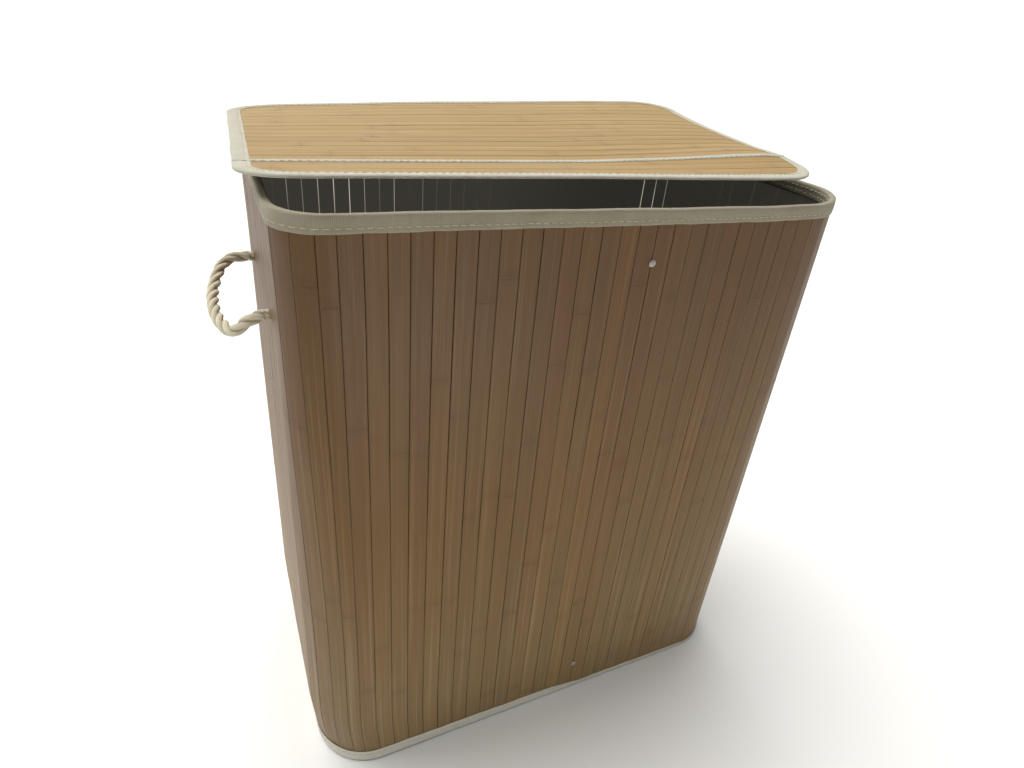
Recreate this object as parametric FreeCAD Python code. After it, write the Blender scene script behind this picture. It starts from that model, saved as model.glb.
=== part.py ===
import FreeCAD, Part
import os
import math

# Rectangular bamboo-slat laundry hamper with a two-panel lid and rope handles.
# Millimetres, +Z up. Origin on the floor at the centre of the body's plan.
# +X runs along the long side, -Y is the front wall, the lid hinges at +Y.

os.makedirs("parts", exist_ok=True)
V = FreeCAD.Vector

# ---------------------------------------------------------------- dimensions
W = 526.0              # outer width over the slats
D = 332.0              # outer depth over the slats
H = 600.0              # height of the slat wall
R = 60.0               # plan radius of the four corners
N_SLATS = 94           # slats round the whole body
SLAT_T = 2.2           # slat thickness
SLAT_GAP = 0.45        # dark joint between two slats
SLAT_PHASE = -2.6      # x of the joint nearest the middle of the front wall
SLAT_Z0 = 0.9          # slats stand on the fold of the bottom tape
BACK_IN = 3.7          # inner face of the backing cloth, from the outer face
CORNER_BACK_OUT = 2.95 # outer face of the backing behind the corner slats
CORNER_REACH = 17.2    # how far the corner backings run on along the flat walls

TAPE = 0.8             # woven tape thickness
RIM_H = 15.5           # rim tape height on the outside
RIM_IN = 5.3           # inner face of the rim tape, from the outer face
FOOT_H = 15.0          # bottom tape height
HOOP_T = 0.75          # spring-steel band in the hems
HOOP_H = 10.0

BASE_T = 3.15          # base board, lying on the floor inside the foot tape
LID_W = 522.0          # lid outer width
LID_D = 330.0          # lid outer depth
LID_R = 43.0           # lid corner radius
LID_CX = -7.0          # the lid sits a little to the left
LID_CY = 27.5          # and overhangs the back wall
LID_TOP = 612.6        # top of the lid's edge tape
LID_T = 4.2            # thickness over the edge tape
LID_TAPE_W = 12.0      # edge tape width seen on top
LID_PITCH = 17.0       # lid slat pitch
SEAM_Y = -70.0         # fold line between the lid's two panels
SEAM_GAP = 0.8
PANEL_SLAT = 1.7       # slat thickness in the flat panels
PANEL_BACK = 0.9       # cloth thickness in the flat panels

HINGE_Y = D / 2 + 1.25 # lid hinge axis
HINGE_Z = 604.6
HINGE_X0, HINGE_X1 = -195.0, 185.0

STRUT_X = 32.4         # upright batten and its rivets
RIVET_Z = (43.9, 553.5)
STRUT_W, STRUT_T = 20.0, 5.0
STRUT_Z0, STRUT_Z1 = 22.0, 576.0

ROPE_D = 10.0
ROPE_Z = 498.0
ROPE_Y = (60.0, -80.0) # back hole, front hole
ROPE_OUT = 8.5         # swing axis, outside the wall
# loop route: distance outside the wall, y, z
ROPE_ROUTE = [(ROPE_OUT, 60.0, 498.0), (21.0, 58.5, 498.5), (31.0, 46.0, 492.5),
              (38.0, 20.0, 485.0), (40.0, -14.0, 482.0), (36.0, -46.0, 479.0),
              (27.0, -69.0, 480.0), (18.0, -78.0, 493.5), (ROPE_OUT, -80.0, 498.0)]


# ------------------------------------------------------------------- helpers
def save(name, shapes):
    if not isinstance(shapes, (list, tuple)):
        shapes = [shapes]
    sol = []
    for s in shapes:
        sol += list(s.Solids)
    out = sol[0] if len(sol) == 1 else Part.makeCompound(sol)
    bad = [i for i, s in enumerate(sol) if not s.isValid() or s.Volume <= 0]
    bb = out.BoundBox
    print("%-28s solids %3d vol %9.1f  z %.1f..%.1f%s" % (
        name, len(sol), sum(s.Volume for s in sol), bb.ZMin, bb.ZMax,
        "  BAD %s" % bad[:5] if bad else ""))
    out.exportStep("parts/%s.step" % name)


def rr_face(w, d, r, z, cx=0.0, cy=0.0):
    x0, x1, y0, y1 = cx - w / 2, cx + w / 2, cy - d / 2, cy + d / 2
    k = r * (1 - math.sqrt(0.5))
    e = [
        Part.LineSegment(V(x0 + r, y0, z), V(x1 - r, y0, z)).toShape(),
        Part.Arc(V(x1 - r, y0, z), V(x1 - k, y0 + k, z), V(x1, y0 + r, z)).toShape(),
        Part.LineSegment(V(x1, y0 + r, z), V(x1, y1 - r, z)).toShape(),
        Part.Arc(V(x1, y1 - r, z), V(x1 - k, y1 - k, z), V(x1 - r, y1, z)).toShape(),
        Part.LineSegment(V(x1 - r, y1, z), V(x0 + r, y1, z)).toShape(),
        Part.Arc(V(x0 + r, y1, z), V(x0 + k, y1 - k, z), V(x0, y1 - r, z)).toShape(),
        Part.LineSegment(V(x0, y1 - r, z), V(x0, y0 + r, z)).toShape(),
        Part.Arc(V(x0, y0 + r, z), V(x0 + k, y0 + k, z), V(x0 + r, y0, z)).toShape(),
    ]
    return Part.Face(Part.Wire(e))


def rr_prism(off, z0, z1):
    """Body outline moved outwards by off, between two heights."""
    return rr_face(W + 2 * off, D + 2 * off, R + off, z0).extrude(V(0, 0, z1 - z0))


def lid_prism(off, z0, z1):
    return rr_face(LID_W + 2 * off, LID_D + 2 * off, LID_R + off, z0,
                   LID_CX, LID_CY).extrude(V(0, 0, z1 - z0))


def ring(o, i, z0, z1):
    return rr_prism(o, z0, z1).cut(rr_prism(i, z0 - 1, z1 + 1))


def box(x0, x1, y0, y1, z0, z1):
    return Part.makeBox(x1 - x0, y1 - y0, z1 - z0, V(x0, y0, z0))


PERIM = 2 * (W - 2 * R) + 2 * (D - 2 * R) + 2 * math.pi * R
PITCH = PERIM / N_SLATS
A1 = W / 2 - R                     # arc lengths where each stretch ends
A2 = A1 + math.pi * R / 2
A3 = A2 + (D - 2 * R)
A4 = A3 + math.pi * R / 2
A5 = A4 + (W - 2 * R)
A6 = A5 + math.pi * R / 2
A7 = A6 + (D - 2 * R)
A8 = A7 + math.pi * R / 2


def path(s):
    """Point and outward normal on the outer outline; s from the front middle."""
    s = s % PERIM
    def arc(cx, cy, a0, t):
        a = a0 + t / R
        return (cx + R * math.cos(a), cy + R * math.sin(a), math.cos(a), math.sin(a))
    if s < A1:
        return (s, -D / 2, 0.0, -1.0)
    if s < A2:
        return arc(W / 2 - R, -D / 2 + R, -math.pi / 2, s - A1)
    if s < A3:
        return (W / 2, -D / 2 + R + s - A2, 1.0, 0.0)
    if s < A4:
        return arc(W / 2 - R, D / 2 - R, 0.0, s - A3)
    if s < A5:
        return (W / 2 - R - (s - A4), D / 2, 0.0, 1.0)
    if s < A6:
        return arc(-W / 2 + R, D / 2 - R, math.pi / 2, s - A5)
    if s < A7:
        return (-W / 2, D / 2 - R - (s - A6), -1.0, 0.0)
    if s < A8:
        return arc(-W / 2 + R, -D / 2 + R, math.pi, s - A7)
    return (-W / 2 + R + (s - A8), -D / 2, 0.0, -1.0)


def stretch_of(s):
    s = s % PERIM
    names = ["front", "front_right", "right", "back_right", "back", "back_left",
             "left", "front_left", "front"]
    for n, a in zip(names, [A1, A2, A3, A4, A5, A6, A7, A8, PERIM + 1]):
        if s < a:
            return n


# ---------------------------------------------------------------- wall slats
rivet_holes = [Part.makeCylinder(1.7, D + 40, V(STRUT_X, -D / 2 - 20, z), V(0, 1, 0))
               for z in RIVET_Z]
rope_holes = [Part.makeCylinder(6.6, W + 60, V(-W / 2 - 30, y, ROPE_Z), V(1, 0, 0))
              for y in ROPE_Y]

groups = {}
for k in range(N_SLATS):
    s0 = SLAT_PHASE + k * PITCH + SLAT_GAP / 2
    s1 = SLAT_PHASE + (k + 1) * PITCH - SLAT_GAP / 2
    a, b = path(s0), path(s1)
    pts = [V(a[0], a[1], SLAT_Z0), V(b[0], b[1], SLAT_Z0),
           V(b[0] - b[2] * SLAT_T, b[1] - b[3] * SLAT_T, SLAT_Z0),
           V(a[0] - a[2] * SLAT_T, a[1] - a[3] * SLAT_T, SLAT_Z0)]
    f = Part.Face(Part.makePolygon(pts + [pts[0]]))
    slat = f.extrude(V(0, 0, H - SLAT_Z0))
    name = stretch_of((s0 + s1) / 2)
    bb = slat.BoundBox
    if name in ("front", "back") and bb.XMin < STRUT_X + 2 and bb.XMax > STRUT_X - 2:
        for c in rivet_holes:
            slat = slat.cut(c)
    if name in ("left", "right"):
        for y, c in zip(ROPE_Y, rope_holes):
            if bb.YMin < y + 7 and bb.YMax > y - 7:
                slat = slat.cut(c)
    groups.setdefault(name, []).append(slat)
for n in ("front", "back", "left", "right"):
    save(n + "_wall_slats", groups[n])
for n in ("front_left", "front_right", "back_left", "back_right"):
    save(n + "_corner_slats", groups[n])

# ------------------------------------------------- backing cloth, in 8 pieces
BZ0, BZ1 = SLAT_Z0, H
AX, AY = A1 - CORNER_REACH, D / 2 - R - CORNER_REACH
fl = box(-AX, AX, -D / 2 + SLAT_T + 0.02, -D / 2 + BACK_IN, BZ0, BZ1)
bl = box(-AX, AX, D / 2 - BACK_IN, D / 2 - SLAT_T - 0.02, BZ0, BZ1)
ll = box(-W / 2 + SLAT_T + 0.02, -W / 2 + BACK_IN, -AY, AY, BZ0, BZ1)
rl = box(W / 2 - BACK_IN, W / 2 - SLAT_T - 0.02, -AY, AY, BZ0, BZ1)
for c in rivet_holes:
    fl, bl = fl.cut(c), bl.cut(c)
for c in rope_holes:
    ll, rl = ll.cut(c), rl.cut(c)
save("front_backing_cloth", fl)
save("back_backing_cloth", bl)
save("left_backing_cloth", ll)
save("right_backing_cloth", rl)
corner_ring = ring(-CORNER_BACK_OUT, -BACK_IN, BZ0, BZ1)
for n, sx, sy in (("front_left", -1, -1), ("front_right", 1, -1),
                  ("back_left", -1, 1), ("back_right", 1, 1)):
    x0, y0 = sx * (AX + 0.02), sy * (AY + 0.02)
    q = box(min(x0, sx * W), max(x0, sx * W), min(y0, sy * D), max(y0, sy * D), -1, H + 1)
    save(n + "_backing_cloth", corner_ring.common(q))

# ---------------------------------------------------------------- rim and foot
rim = ring(TAPE, -RIM_IN, H + TAPE - RIM_H, H + TAPE).cut(
    ring(0.05, -RIM_IN + TAPE - 0.05, H - RIM_H - 5, H + 0.05))
save("rim_binding_tape", rim)
# the row of thread stops where the lid's cloth hinge covers it
save("rim_stitching", ring(TAPE + 0.55, TAPE + 0.02, H - RIM_H + 4.2, H - RIM_H + 5.0).cut(
    box(HINGE_X0 - 0.6, HINGE_X1 + 0.6, D / 2 - 4, D / 2 + 4, H - RIM_H, H)))
save("rim_hoop", ring(-BACK_IN - 0.03, -BACK_IN - 0.03 - HOOP_T, H - 13.0, H - 13.0 + HOOP_H))
foot = ring(TAPE, -RIM_IN, 0, FOOT_H).cut(
    ring(0.05, -RIM_IN + TAPE - 0.05, TAPE + 0.05, FOOT_H + 5))
save("foot_binding_tape", foot)
save("foot_stitching", ring(TAPE + 0.55, TAPE + 0.02, FOOT_H - 4.6, FOOT_H - 3.8))
save("foot_hoop", ring(-BACK_IN - 0.03, -BACK_IN - 0.03 - HOOP_T, 3.0, 3.0 + HOOP_H))

# ----------------------------------------------------------------- base panel
bo = -RIM_IN - 0.35                 # base outline, from the outer face
board_z1 = BASE_T
core_z1 = BASE_T + 0.02 + PANEL_SLAT
save("base_board", rr_prism(bo - 0.8, 0, board_z1))
base_core = rr_prism(bo - 0.8, board_z1 + 0.02, core_z1)
yb, base_slats = -D / 2, []
while yb < D / 2:
    base_slats.append(base_core.common(
        box(-W, W, yb + 0.25, yb + 17.0 - 0.25, board_z1, core_z1 + 1)))
    yb += 17.0
base_slats = [s for s in base_slats if s.Solids]
save("base_slats", base_slats)
base_tape = rr_prism(bo, 0, core_z1 + 0.78).cut(
    rr_prism(bo - 0.78, -1, core_z1 + 0.02)).cut(
    rr_prism(bo - 14.0, -1, core_z1 + 3))
save("base_binding_tape", base_tape)

# --------------------------------------------- upright battens, rivets, washers
for n, sy in (("front", -1), ("back", 1)):
    yo = sy * (D / 2 - BACK_IN - 0.03 - HOOP_T - 1.0)   # clears the hems
    yi = yo - sy * STRUT_T
    b = box(STRUT_X - STRUT_W / 2, STRUT_X + STRUT_W / 2, min(yo, yi), max(yo, yi),
            STRUT_Z0, STRUT_Z1)
    for c in rivet_holes:
        b = b.cut(c)
    save(n + "_upright_batten", b)
rivets, washers = [], []
for sy in (-1, 1):
    for z in RIVET_Z:
        inner = D / 2 - BACK_IN - 0.03 - HOOP_T - 1.0 - STRUT_T
        shank = Part.makeCylinder(1.55, D / 2 - inner + 2.8,
                                  V(STRUT_X, sy * (inner - 2.2), z), V(0, sy, 0))
        head = Part.makeSphere(4.6, V(STRUT_X, sy * (D / 2 - 3.1), z)).common(
            box(STRUT_X - 9, STRUT_X + 9, min(sy * (D / 2 + 0.03), sy * (D / 2 + 9)),
                max(sy * (D / 2 + 0.03), sy * (D / 2 + 9)), z - 9, z + 9))
        tail = Part.makeCylinder(2.6, 0.9, V(STRUT_X, sy * (inner - 1.25), z), V(0, -sy, 0))
        rivets.append(shank.fuse(head).fuse(tail).removeSplitter())
        wsh = Part.makeCylinder(5.0, 1.1, V(STRUT_X, sy * (inner - 0.05), z), V(0, -sy, 0)).cut(
            Part.makeCylinder(1.7, 6, V(STRUT_X, sy * (inner + 2), z), V(0, -sy, 0)))
        washers.append(wsh)
save("batten_rivets", rivets)
save("rivet_washers", washers)

# ----------------------------------------------------------------- rope handles
def eyelet(sx, y):
    """Bush through the wall, flush outside, with its flange on the cloth inside."""
    xi = W / 2 - BACK_IN - 0.03
    flange = Part.makeCylinder(10.0, 1.0, V(sx * xi, y, ROPE_Z), V(-sx, 0, 0))
    barrel = Part.makeCylinder(6.45, BACK_IN + 0.8, V(sx * (xi - 0.9), y, ROPE_Z), V(sx, 0, 0))
    bore = Part.makeCylinder(5.6, 30, V(sx * (W / 2 - 15), y, ROPE_Z), V(sx, 0, 0))
    return flange.fuse(barrel).cut(bore).removeSplitter()


save("rope_eyelets", [eyelet(sx, y) for sx in (-1, 1) for y in ROPE_Y])


def fillet_path(pts):
    """Straight runs joined by tangent arcs."""
    P = [V(*p) for p in pts]
    edges, radii, prev = [], [], P[0]
    for i in range(1, len(P) - 1):
        a, b = P[i - 1] - P[i], P[i + 1] - P[i]
        la, lb = a.Length, b.Length
        a.normalize(), b.normalize()
        turn = math.pi - a.getAngle(b)
        t = 0.45 * min(la, lb)
        r = t / math.tan(turn / 2)
        radii.append(round(r, 1))
        p0, p1 = P[i] + a * t, P[i] + b * t
        bis = a + b
        bis.normalize()
        centre = P[i] + bis * (r / math.cos(turn / 2))
        mid = centre - bis * r
        edges.append(Part.LineSegment(prev, p0).toShape())
        edges.append(Part.Arc(p0, mid, p1).toShape())
        prev = p1
    edges.append(Part.LineSegment(prev, P[-1]).toShape())
    return Part.Wire(edges), radii


for side, sx in (("left", -1), ("right", 1)):
    pts = [(sx * (W / 2 + d), y, z) for d, y, z in ROPE_ROUTE]
    wire, radii = fillet_path(pts)
    e = wire.Edges[0]
    t0 = e.tangentAt(e.FirstParameter)
    prof = Part.Wire(Part.Circle(V(*pts[0]), t0, ROPE_D / 2).toShape())
    tube = wire.makePipeShell([prof], True, False)
    tube = tube.fuse(Part.makeSphere(ROPE_D / 2 - 0.25, V(*pts[0]))).fuse(
        Part.makeSphere(ROPE_D / 2 - 0.25, V(*pts[-1]))).removeSplitter()
    print(side, "rope centreline", round(wire.Length, 1), "volume ratio",
          round(tube.Volume / (math.pi * ROPE_D ** 2 / 4 * wire.Length), 4),
          "radii", radii)
    save(side + "_rope_handle", tube)
    ends = []
    for y in ROPE_Y:
        xo = sx * (W / 2 + ROPE_OUT - ROPE_D / 2 - 0.35)
        xi = sx * (W / 2 - BACK_IN - 1.4)
        stub = Part.makeCylinder(ROPE_D / 2, abs(xo - xi) + 6, V(xo, y, ROPE_Z), V(-sx, 0, 0))
        knot = Part.makeSphere(11.0, V(xi - sx * 11.2, y, ROPE_Z))
        tail = Part.makeCylinder(ROPE_D / 2, 24, V(xi - sx * 11.2, y, ROPE_Z), V(0, 0, -1))
        ends.append(stub.fuse(knot).fuse(tail).removeSplitter())
    save(side + "_rope_knots", ends)

# ------------------------------------------------------------------------ lid
lz1 = LID_TOP
lz0 = LID_TOP - LID_T
core1 = lz1 - 0.78                   # top of the lid slats under the tape fold
core_s = core1 - PANEL_SLAT
core_b = core_s - PANEL_BACK
main_half = box(-W, W, SEAM_Y + SEAM_GAP / 2, D, lz0 - 5, lz1 + 5)
front_half = box(-W, W, -D, SEAM_Y - SEAM_GAP / 2, lz0 - 5, lz1 + 5)
slat_core = lid_prism(-0.85, core_s + 0.01, core1)
cloth_core = lid_prism(-0.85, core_b, core_s - 0.01)
tape = lid_prism(0, lz0, lz1).cut(lid_prism(-0.8, core_b - 0.03, core1 + 0.03)).cut(
    lid_prism(-LID_TAPE_W, lz0 - 1, lz1 + 1))


def lid_slats(y_from, y_to):
    out, y, step = [], y_from, LID_PITCH if y_to > y_from else -LID_PITCH
    while (y < y_to) if step > 0 else (y > y_to):
        a, b = min(y, y + step), max(y, y + step)
        s = slat_core.common(box(-W, W, a + 0.2, b - 0.2, core_s - 1, core1 + 1))
        if s.Solids and s.BoundBox.YLength > 3:
            out.append(s)
        y += step
    return out


lid_y0, lid_y1 = LID_CY - LID_D / 2, LID_CY + LID_D / 2
save("lid_main_slats", lid_slats(SEAM_Y + SEAM_GAP / 2, lid_y1))
save("lid_main_backing_cloth", cloth_core.common(main_half))
save("lid_main_binding_tape", tape.common(main_half))
save("lid_front_slats", lid_slats(SEAM_Y - SEAM_GAP / 2, lid_y0))
save("lid_front_backing_cloth", cloth_core.common(front_half))
save("lid_front_binding_tape", tape.common(front_half))
sx0, sx1 = LID_CX - LID_W / 2 + 13.0, LID_CX + LID_W / 2 - 13.0
save("lid_seam_tape_main", box(sx0, sx1, SEAM_Y + 0.4, SEAM_Y + 5.0, core1 + 0.02, core1 + 0.7))
save("lid_seam_tape_front", box(sx0, sx1, SEAM_Y - 5.0, SEAM_Y - 0.4, core1 + 0.02, core1 + 0.7))


def lid_thread(o, keep):
    t = lid_prism(-o, lz1 + 0.02, lz1 + 0.4).cut(lid_prism(-o - 0.8, lz1 - 1, lz1 + 2))
    return t.common(keep)


save("lid_main_stitching", lid_thread(LID_TAPE_W - 3.0, box(-W, W, SEAM_Y + 2, D, lz1 - 2, lz1 + 3)))
save("lid_front_stitching", lid_thread(LID_TAPE_W - 3.0, box(-W, W, -D, SEAM_Y - 2, lz1 - 2, lz1 + 3)))

# cloth hinge: a strip sewn down the back of the rim, and a flap under the lid
hy0, hy1 = D / 2 + TAPE + 0.05, D / 2 + TAPE + 0.85
save("lid_hinge_cloth", box(HINGE_X0, HINGE_X1, hy0, hy1, H - 14.0, HINGE_Z - 0.5))
flap = box(HINGE_X0, HINGE_X1, hy0, hy1, HINGE_Z + 0.5, lz0 - 0.05).fuse(
    box(HINGE_X0, HINGE_X1, hy1 - 30.0, hy1, lz0 - 0.85, lz0 - 0.05)).removeSplitter()
save("lid_hinge_flap", flap)
print("pitch %.3f perimeter %.1f lid hinge y %.2f z %.2f" % (PITCH, PERIM, HINGE_Y, HINGE_Z))
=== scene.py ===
import math

import bmesh
import bpy
import numpy as np
from mathutils import Matrix, Vector


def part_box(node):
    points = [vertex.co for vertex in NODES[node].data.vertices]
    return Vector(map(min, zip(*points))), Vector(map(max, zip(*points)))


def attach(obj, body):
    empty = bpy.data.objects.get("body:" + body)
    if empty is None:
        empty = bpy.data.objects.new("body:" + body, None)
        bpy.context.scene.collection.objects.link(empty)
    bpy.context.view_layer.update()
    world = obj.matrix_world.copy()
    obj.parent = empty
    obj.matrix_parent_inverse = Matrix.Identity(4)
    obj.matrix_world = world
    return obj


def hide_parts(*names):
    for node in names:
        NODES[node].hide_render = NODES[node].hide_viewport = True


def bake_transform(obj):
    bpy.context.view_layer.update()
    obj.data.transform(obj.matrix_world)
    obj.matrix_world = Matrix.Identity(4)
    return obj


# Bamboo-slat laundry hamper. Lengths below are millimetres unless a line says
# otherwise; they become metres when a mesh is made.
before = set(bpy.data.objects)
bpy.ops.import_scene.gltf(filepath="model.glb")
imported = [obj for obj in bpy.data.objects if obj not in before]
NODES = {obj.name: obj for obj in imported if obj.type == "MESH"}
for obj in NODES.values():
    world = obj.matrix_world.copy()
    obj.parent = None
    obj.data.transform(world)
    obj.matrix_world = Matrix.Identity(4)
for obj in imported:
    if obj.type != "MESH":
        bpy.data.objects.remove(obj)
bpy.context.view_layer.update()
MM = 0.001

W, D, H, R = 526.0, 332.0, 600.0, 60.0
N_SLATS = 94
PERIM = 2 * (W - 2 * R) + 2 * (D - 2 * R) + 2 * math.pi * R
PITCH = PERIM / N_SLATS
SLAT_T = 2.2
A1 = W / 2 - R
A2 = A1 + math.pi * R / 2
A3 = A2 + (D - 2 * R)
A4 = A3 + math.pi * R / 2
A5 = A4 + (W - 2 * R)
A6 = A5 + math.pi * R / 2
A7 = A6 + (D - 2 * R)
A8 = A7 + math.pi * R / 2
LID_W, LID_D, LID_R, LID_CX, LID_CY = 522.0, 330.0, 43.0, -7.0, 27.5
SEAM_Y = -70.0
RIVET_X, RIVET_Z = 32.4, (43.9, 553.5)


def lid_shape(v):
    v = v.copy()
    v[:, 0] += skew(v[:, 0], v[:, 1])
    return v


LEAN_Z = np.linspace(-80.0, 720.0, 801)
LEAN = np.convolve(np.interp(LEAN_Z, [0, 60, 200, 400, 520, 600], [4.8, -1.8, -0.1, 2.3, 4.2, 4.2]),
                   np.exp(-(np.arange(-40, 41) / 16.0) ** 2) / np.exp(-(np.arange(-40, 41) / 16.0) ** 2).sum(),
                   mode="same")


def body_shape(v):
    """The soft wall stands slightly inwards on its left, most at the rim and at the foot."""
    v = np.array(v, float)
    # the front left corner is squarer at the rim than at the foot
    m = (v[:, 0] < -W / 2 + R) & (v[:, 1] < -D / 2 + R) & (v[:, 2] > 150.0)
    dx, dy, z = -W / 2 + R - v[m, 0], -D / 2 + R - v[m, 1], v[m, 2]
    f = np.clip((z - 150.0) / 440.0, 0, 1)
    r = R - 24.0 * f * f * (3 - 2 * f)
    off = np.hypot(dx, dy) - R
    q = R * np.arctan2(dx, dy) * (2 * R - (2 - math.pi / 2) * r) / (math.pi * R / 2)
    t = q - (R - r)
    a = np.clip(t / r, 0, math.pi / 2)
    past = np.maximum(t - math.pi * r / 2, 0)
    v[m, 0] = -W / 2 + r - (r + off) * np.sin(a) + np.maximum(-t, 0)
    v[m, 1] = -D / 2 + r - (r + off) * np.cos(a) + past
    v[:, 0] += np.interp(v[:, 2], LEAN_Z, LEAN) * np.clip(-v[:, 0] / 263.0, 0, 1) ** 2
    return v


def rnd_of(seed):
    return np.random.default_rng(seed)


# ------------------------------------------------------------------ outlines
def outline(s, w=W, d=D, r=R, cx=0.0, cy=0.0):
    """Points and outward normals of a rounded rectangle, anticlockwise from the
    middle of its -Y side, at arc lengths s."""
    s = np.asarray(s, float)
    per = 2 * (w - 2 * r) + 2 * (d - 2 * r) + 2 * math.pi * r
    s = np.mod(s, per)
    q = math.pi * r / 2
    ends, acc = [], 0.0
    for length in (w / 2 - r, q, d - 2 * r, q, w - 2 * r, q, d - 2 * r, q, w / 2 - r + 1):
        acc += length
        ends.append(acc)
    k = np.searchsorted(ends, s, side="right")
    k = np.minimum(k, 8)
    start = np.array([0.0] + ends)[k]
    t = s - start
    p = np.zeros(s.shape + (2,))
    n = np.zeros(s.shape + (2,))
    arcs = {1: (w / 2 - r, -d / 2 + r, -math.pi / 2), 3: (w / 2 - r, d / 2 - r, 0.0),
            5: (-w / 2 + r, d / 2 - r, math.pi / 2), 7: (-w / 2 + r, -d / 2 + r, math.pi)}
    lines = {0: ((0, -d / 2), (1, 0), (0, -1)), 2: ((w / 2, -d / 2 + r), (0, 1), (1, 0)),
             4: ((w / 2 - r, d / 2), (-1, 0), (0, 1)), 6: ((-w / 2, d / 2 - r), (0, -1), (-1, 0)),
             8: ((-w / 2 + r, -d / 2), (1, 0), (0, -1))}
    for i, (o, dr, nn) in lines.items():
        m = k == i
        p[m] = np.array(o) + t[m][:, None] * np.array(dr)
        n[m] = nn
    for i, (ox, oy, a0) in arcs.items():
        m = k == i
        a = a0 + t[m] / r
        n[m] = np.stack([np.cos(a), np.sin(a)], -1)
        p[m] = np.array((ox, oy)) + r * n[m]
    return p + np.array((cx, cy)), n


def stations(w=W, d=D, r=R, straight=9.0, arc=3.0, lo=0.0, hi=None):
    """Arc lengths along a rounded rectangle, closer together on its corners."""
    q = math.pi * r / 2
    per = 2 * (w - 2 * r) + 2 * (d - 2 * r) + 4 * q
    hi = per if hi is None else hi
    out, acc = [0.0], 0.0
    for length, step in ((w / 2 - r, straight), (q, arc), (d - 2 * r, straight), (q, arc),
                         (w - 2 * r, straight), (q, arc), (d - 2 * r, straight), (q, arc),
                         (w / 2 - r, straight)):
        n = max(1, int(round(length / step)))
        out += [acc + length * i / n for i in range(1, n + 1)]
        acc += length
    base = np.array(out)
    every = np.concatenate([base[:-1] - per, base[:-1], base[:-1] + per])
    inside = every[(every > lo + 1e-6) & (every < hi - 1e-6)]
    return np.concatenate([[lo], inside, [hi]])


def wobble(x, seed, wave, amp):
    """Smooth pseudo-random function of x: three sines whose shortest wave is wave."""
    g = rnd_of(seed)
    out = np.zeros_like(np.asarray(x, float))
    for k in (1.0, 1.7, 3.1):
        out = out + np.sin(np.asarray(x) * 2 * math.pi / (wave * k) + g.uniform(0, 6.28)) / 3
    return out * amp


# -------------------------------------------------------------- mesh building
def build(name, verts, faces, mat, body=None, uv=None, attrs=None, smooth=True,
          sharp=35.0, slot=None, replaces=(), uvs_by_loop=None, shape=None):
    """verts in millimetres; uv per vertex or per loop, in metres."""
    me = bpy.data.meshes.new(name)
    verts = np.array(verts, float)
    if shape is not None:
        verts = shape(verts)
    me.from_pydata((verts * MM).tolist(), [], [tuple(int(i) for i in f) for f in faces])
    loops = np.zeros(len(me.loops), np.int32)
    me.loops.foreach_get("vertex_index", loops)
    if uv is not None or uvs_by_loop is not None:
        layer = me.uv_layers.new(name="UVMap")
        data = np.asarray(uvs_by_loop if uvs_by_loop is not None else np.asarray(uv, float)[loops], float)
        layer.data.foreach_set("uv", data.astype(np.float32).ravel())
    for key, values in (attrs or {}).items():
        a = me.attributes.new(key, "FLOAT", "POINT")
        a.data.foreach_set("value", np.asarray(values, np.float32))
    me.materials.append(mat)
    me.validate()
    bm = bmesh.new()
    bm.from_mesh(me)
    bmesh.ops.recalc_face_normals(bm, faces=bm.faces)
    bm.to_mesh(me)
    bm.free()
    if smooth:
        me.polygons.foreach_set("use_smooth", np.ones(len(me.polygons), bool))
        me.set_sharp_from_angle(angle=math.radians(sharp))
    ob = bpy.data.objects.new(name, me)
    bpy.context.scene.collection.objects.link(ob)
    if replaces:
        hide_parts(*replaces)
    if body:
        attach(ob, body)
    return ob


class Bag:
    """Collects several closed shapes into one mesh."""

    def __init__(self):
        self.v, self.f, self.uv, self.at, self.n = [], [], [], {}, 0

    def grid(self, P, UV, wrap_i=False, wrap_j=True, caps=True, **attrs):
        """P (n, m, 3) rows i of ring j; UV (n+1 if wrap_i, m+1, 2)."""
        n, m = P.shape[:2]
        idx = np.arange(n * m).reshape(n, m) + self.n
        self.v.append(P.reshape(-1, 3))
        for key, val in attrs.items():
            self.at.setdefault(key, []).append(np.broadcast_to(np.asarray(val, float), (n, m)).ravel())
        ni, mj = (n if wrap_i else n - 1), (m if wrap_j else m - 1)
        for i in range(ni):
            i2 = (i + 1) % n
            for j in range(mj):
                j2 = (j + 1) % m
                self.f.append((idx[i, j], idx[i2, j], idx[i2, j2], idx[i, j2]))
                self.uv += [UV[i, j], UV[i + 1, j], UV[i + 1, j + 1], UV[i, j + 1]]
        if caps and wrap_j and not wrap_i:
            self.f.append(tuple(idx[0, ::-1]))
            self.uv += [UV[0, j] for j in range(m - 1, -1, -1)]
            self.f.append(tuple(idx[-1, :]))
            self.uv += [UV[n - 1, j] for j in range(m)]
        self.n += n * m

    def done(self, name, mat, **kw):
        attrs = {k: np.concatenate(v) for k, v in self.at.items()}
        return build(name, np.concatenate(self.v), self.f, mat, uvs_by_loop=np.array(self.uv),
                     attrs=attrs, **kw)


def ring_uv(s, prof, scale=MM):
    """UV grid for a sweep: s along, profile length across."""
    prof = np.asarray(prof, float)
    closed = np.vstack([prof, prof[:1]])
    c = np.concatenate([[0], np.cumsum(np.linalg.norm(np.diff(closed, axis=0), axis=1))])
    S, C = np.meshgrid(s, c, indexing="ij")
    return np.stack([S, C], -1) * scale


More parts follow.
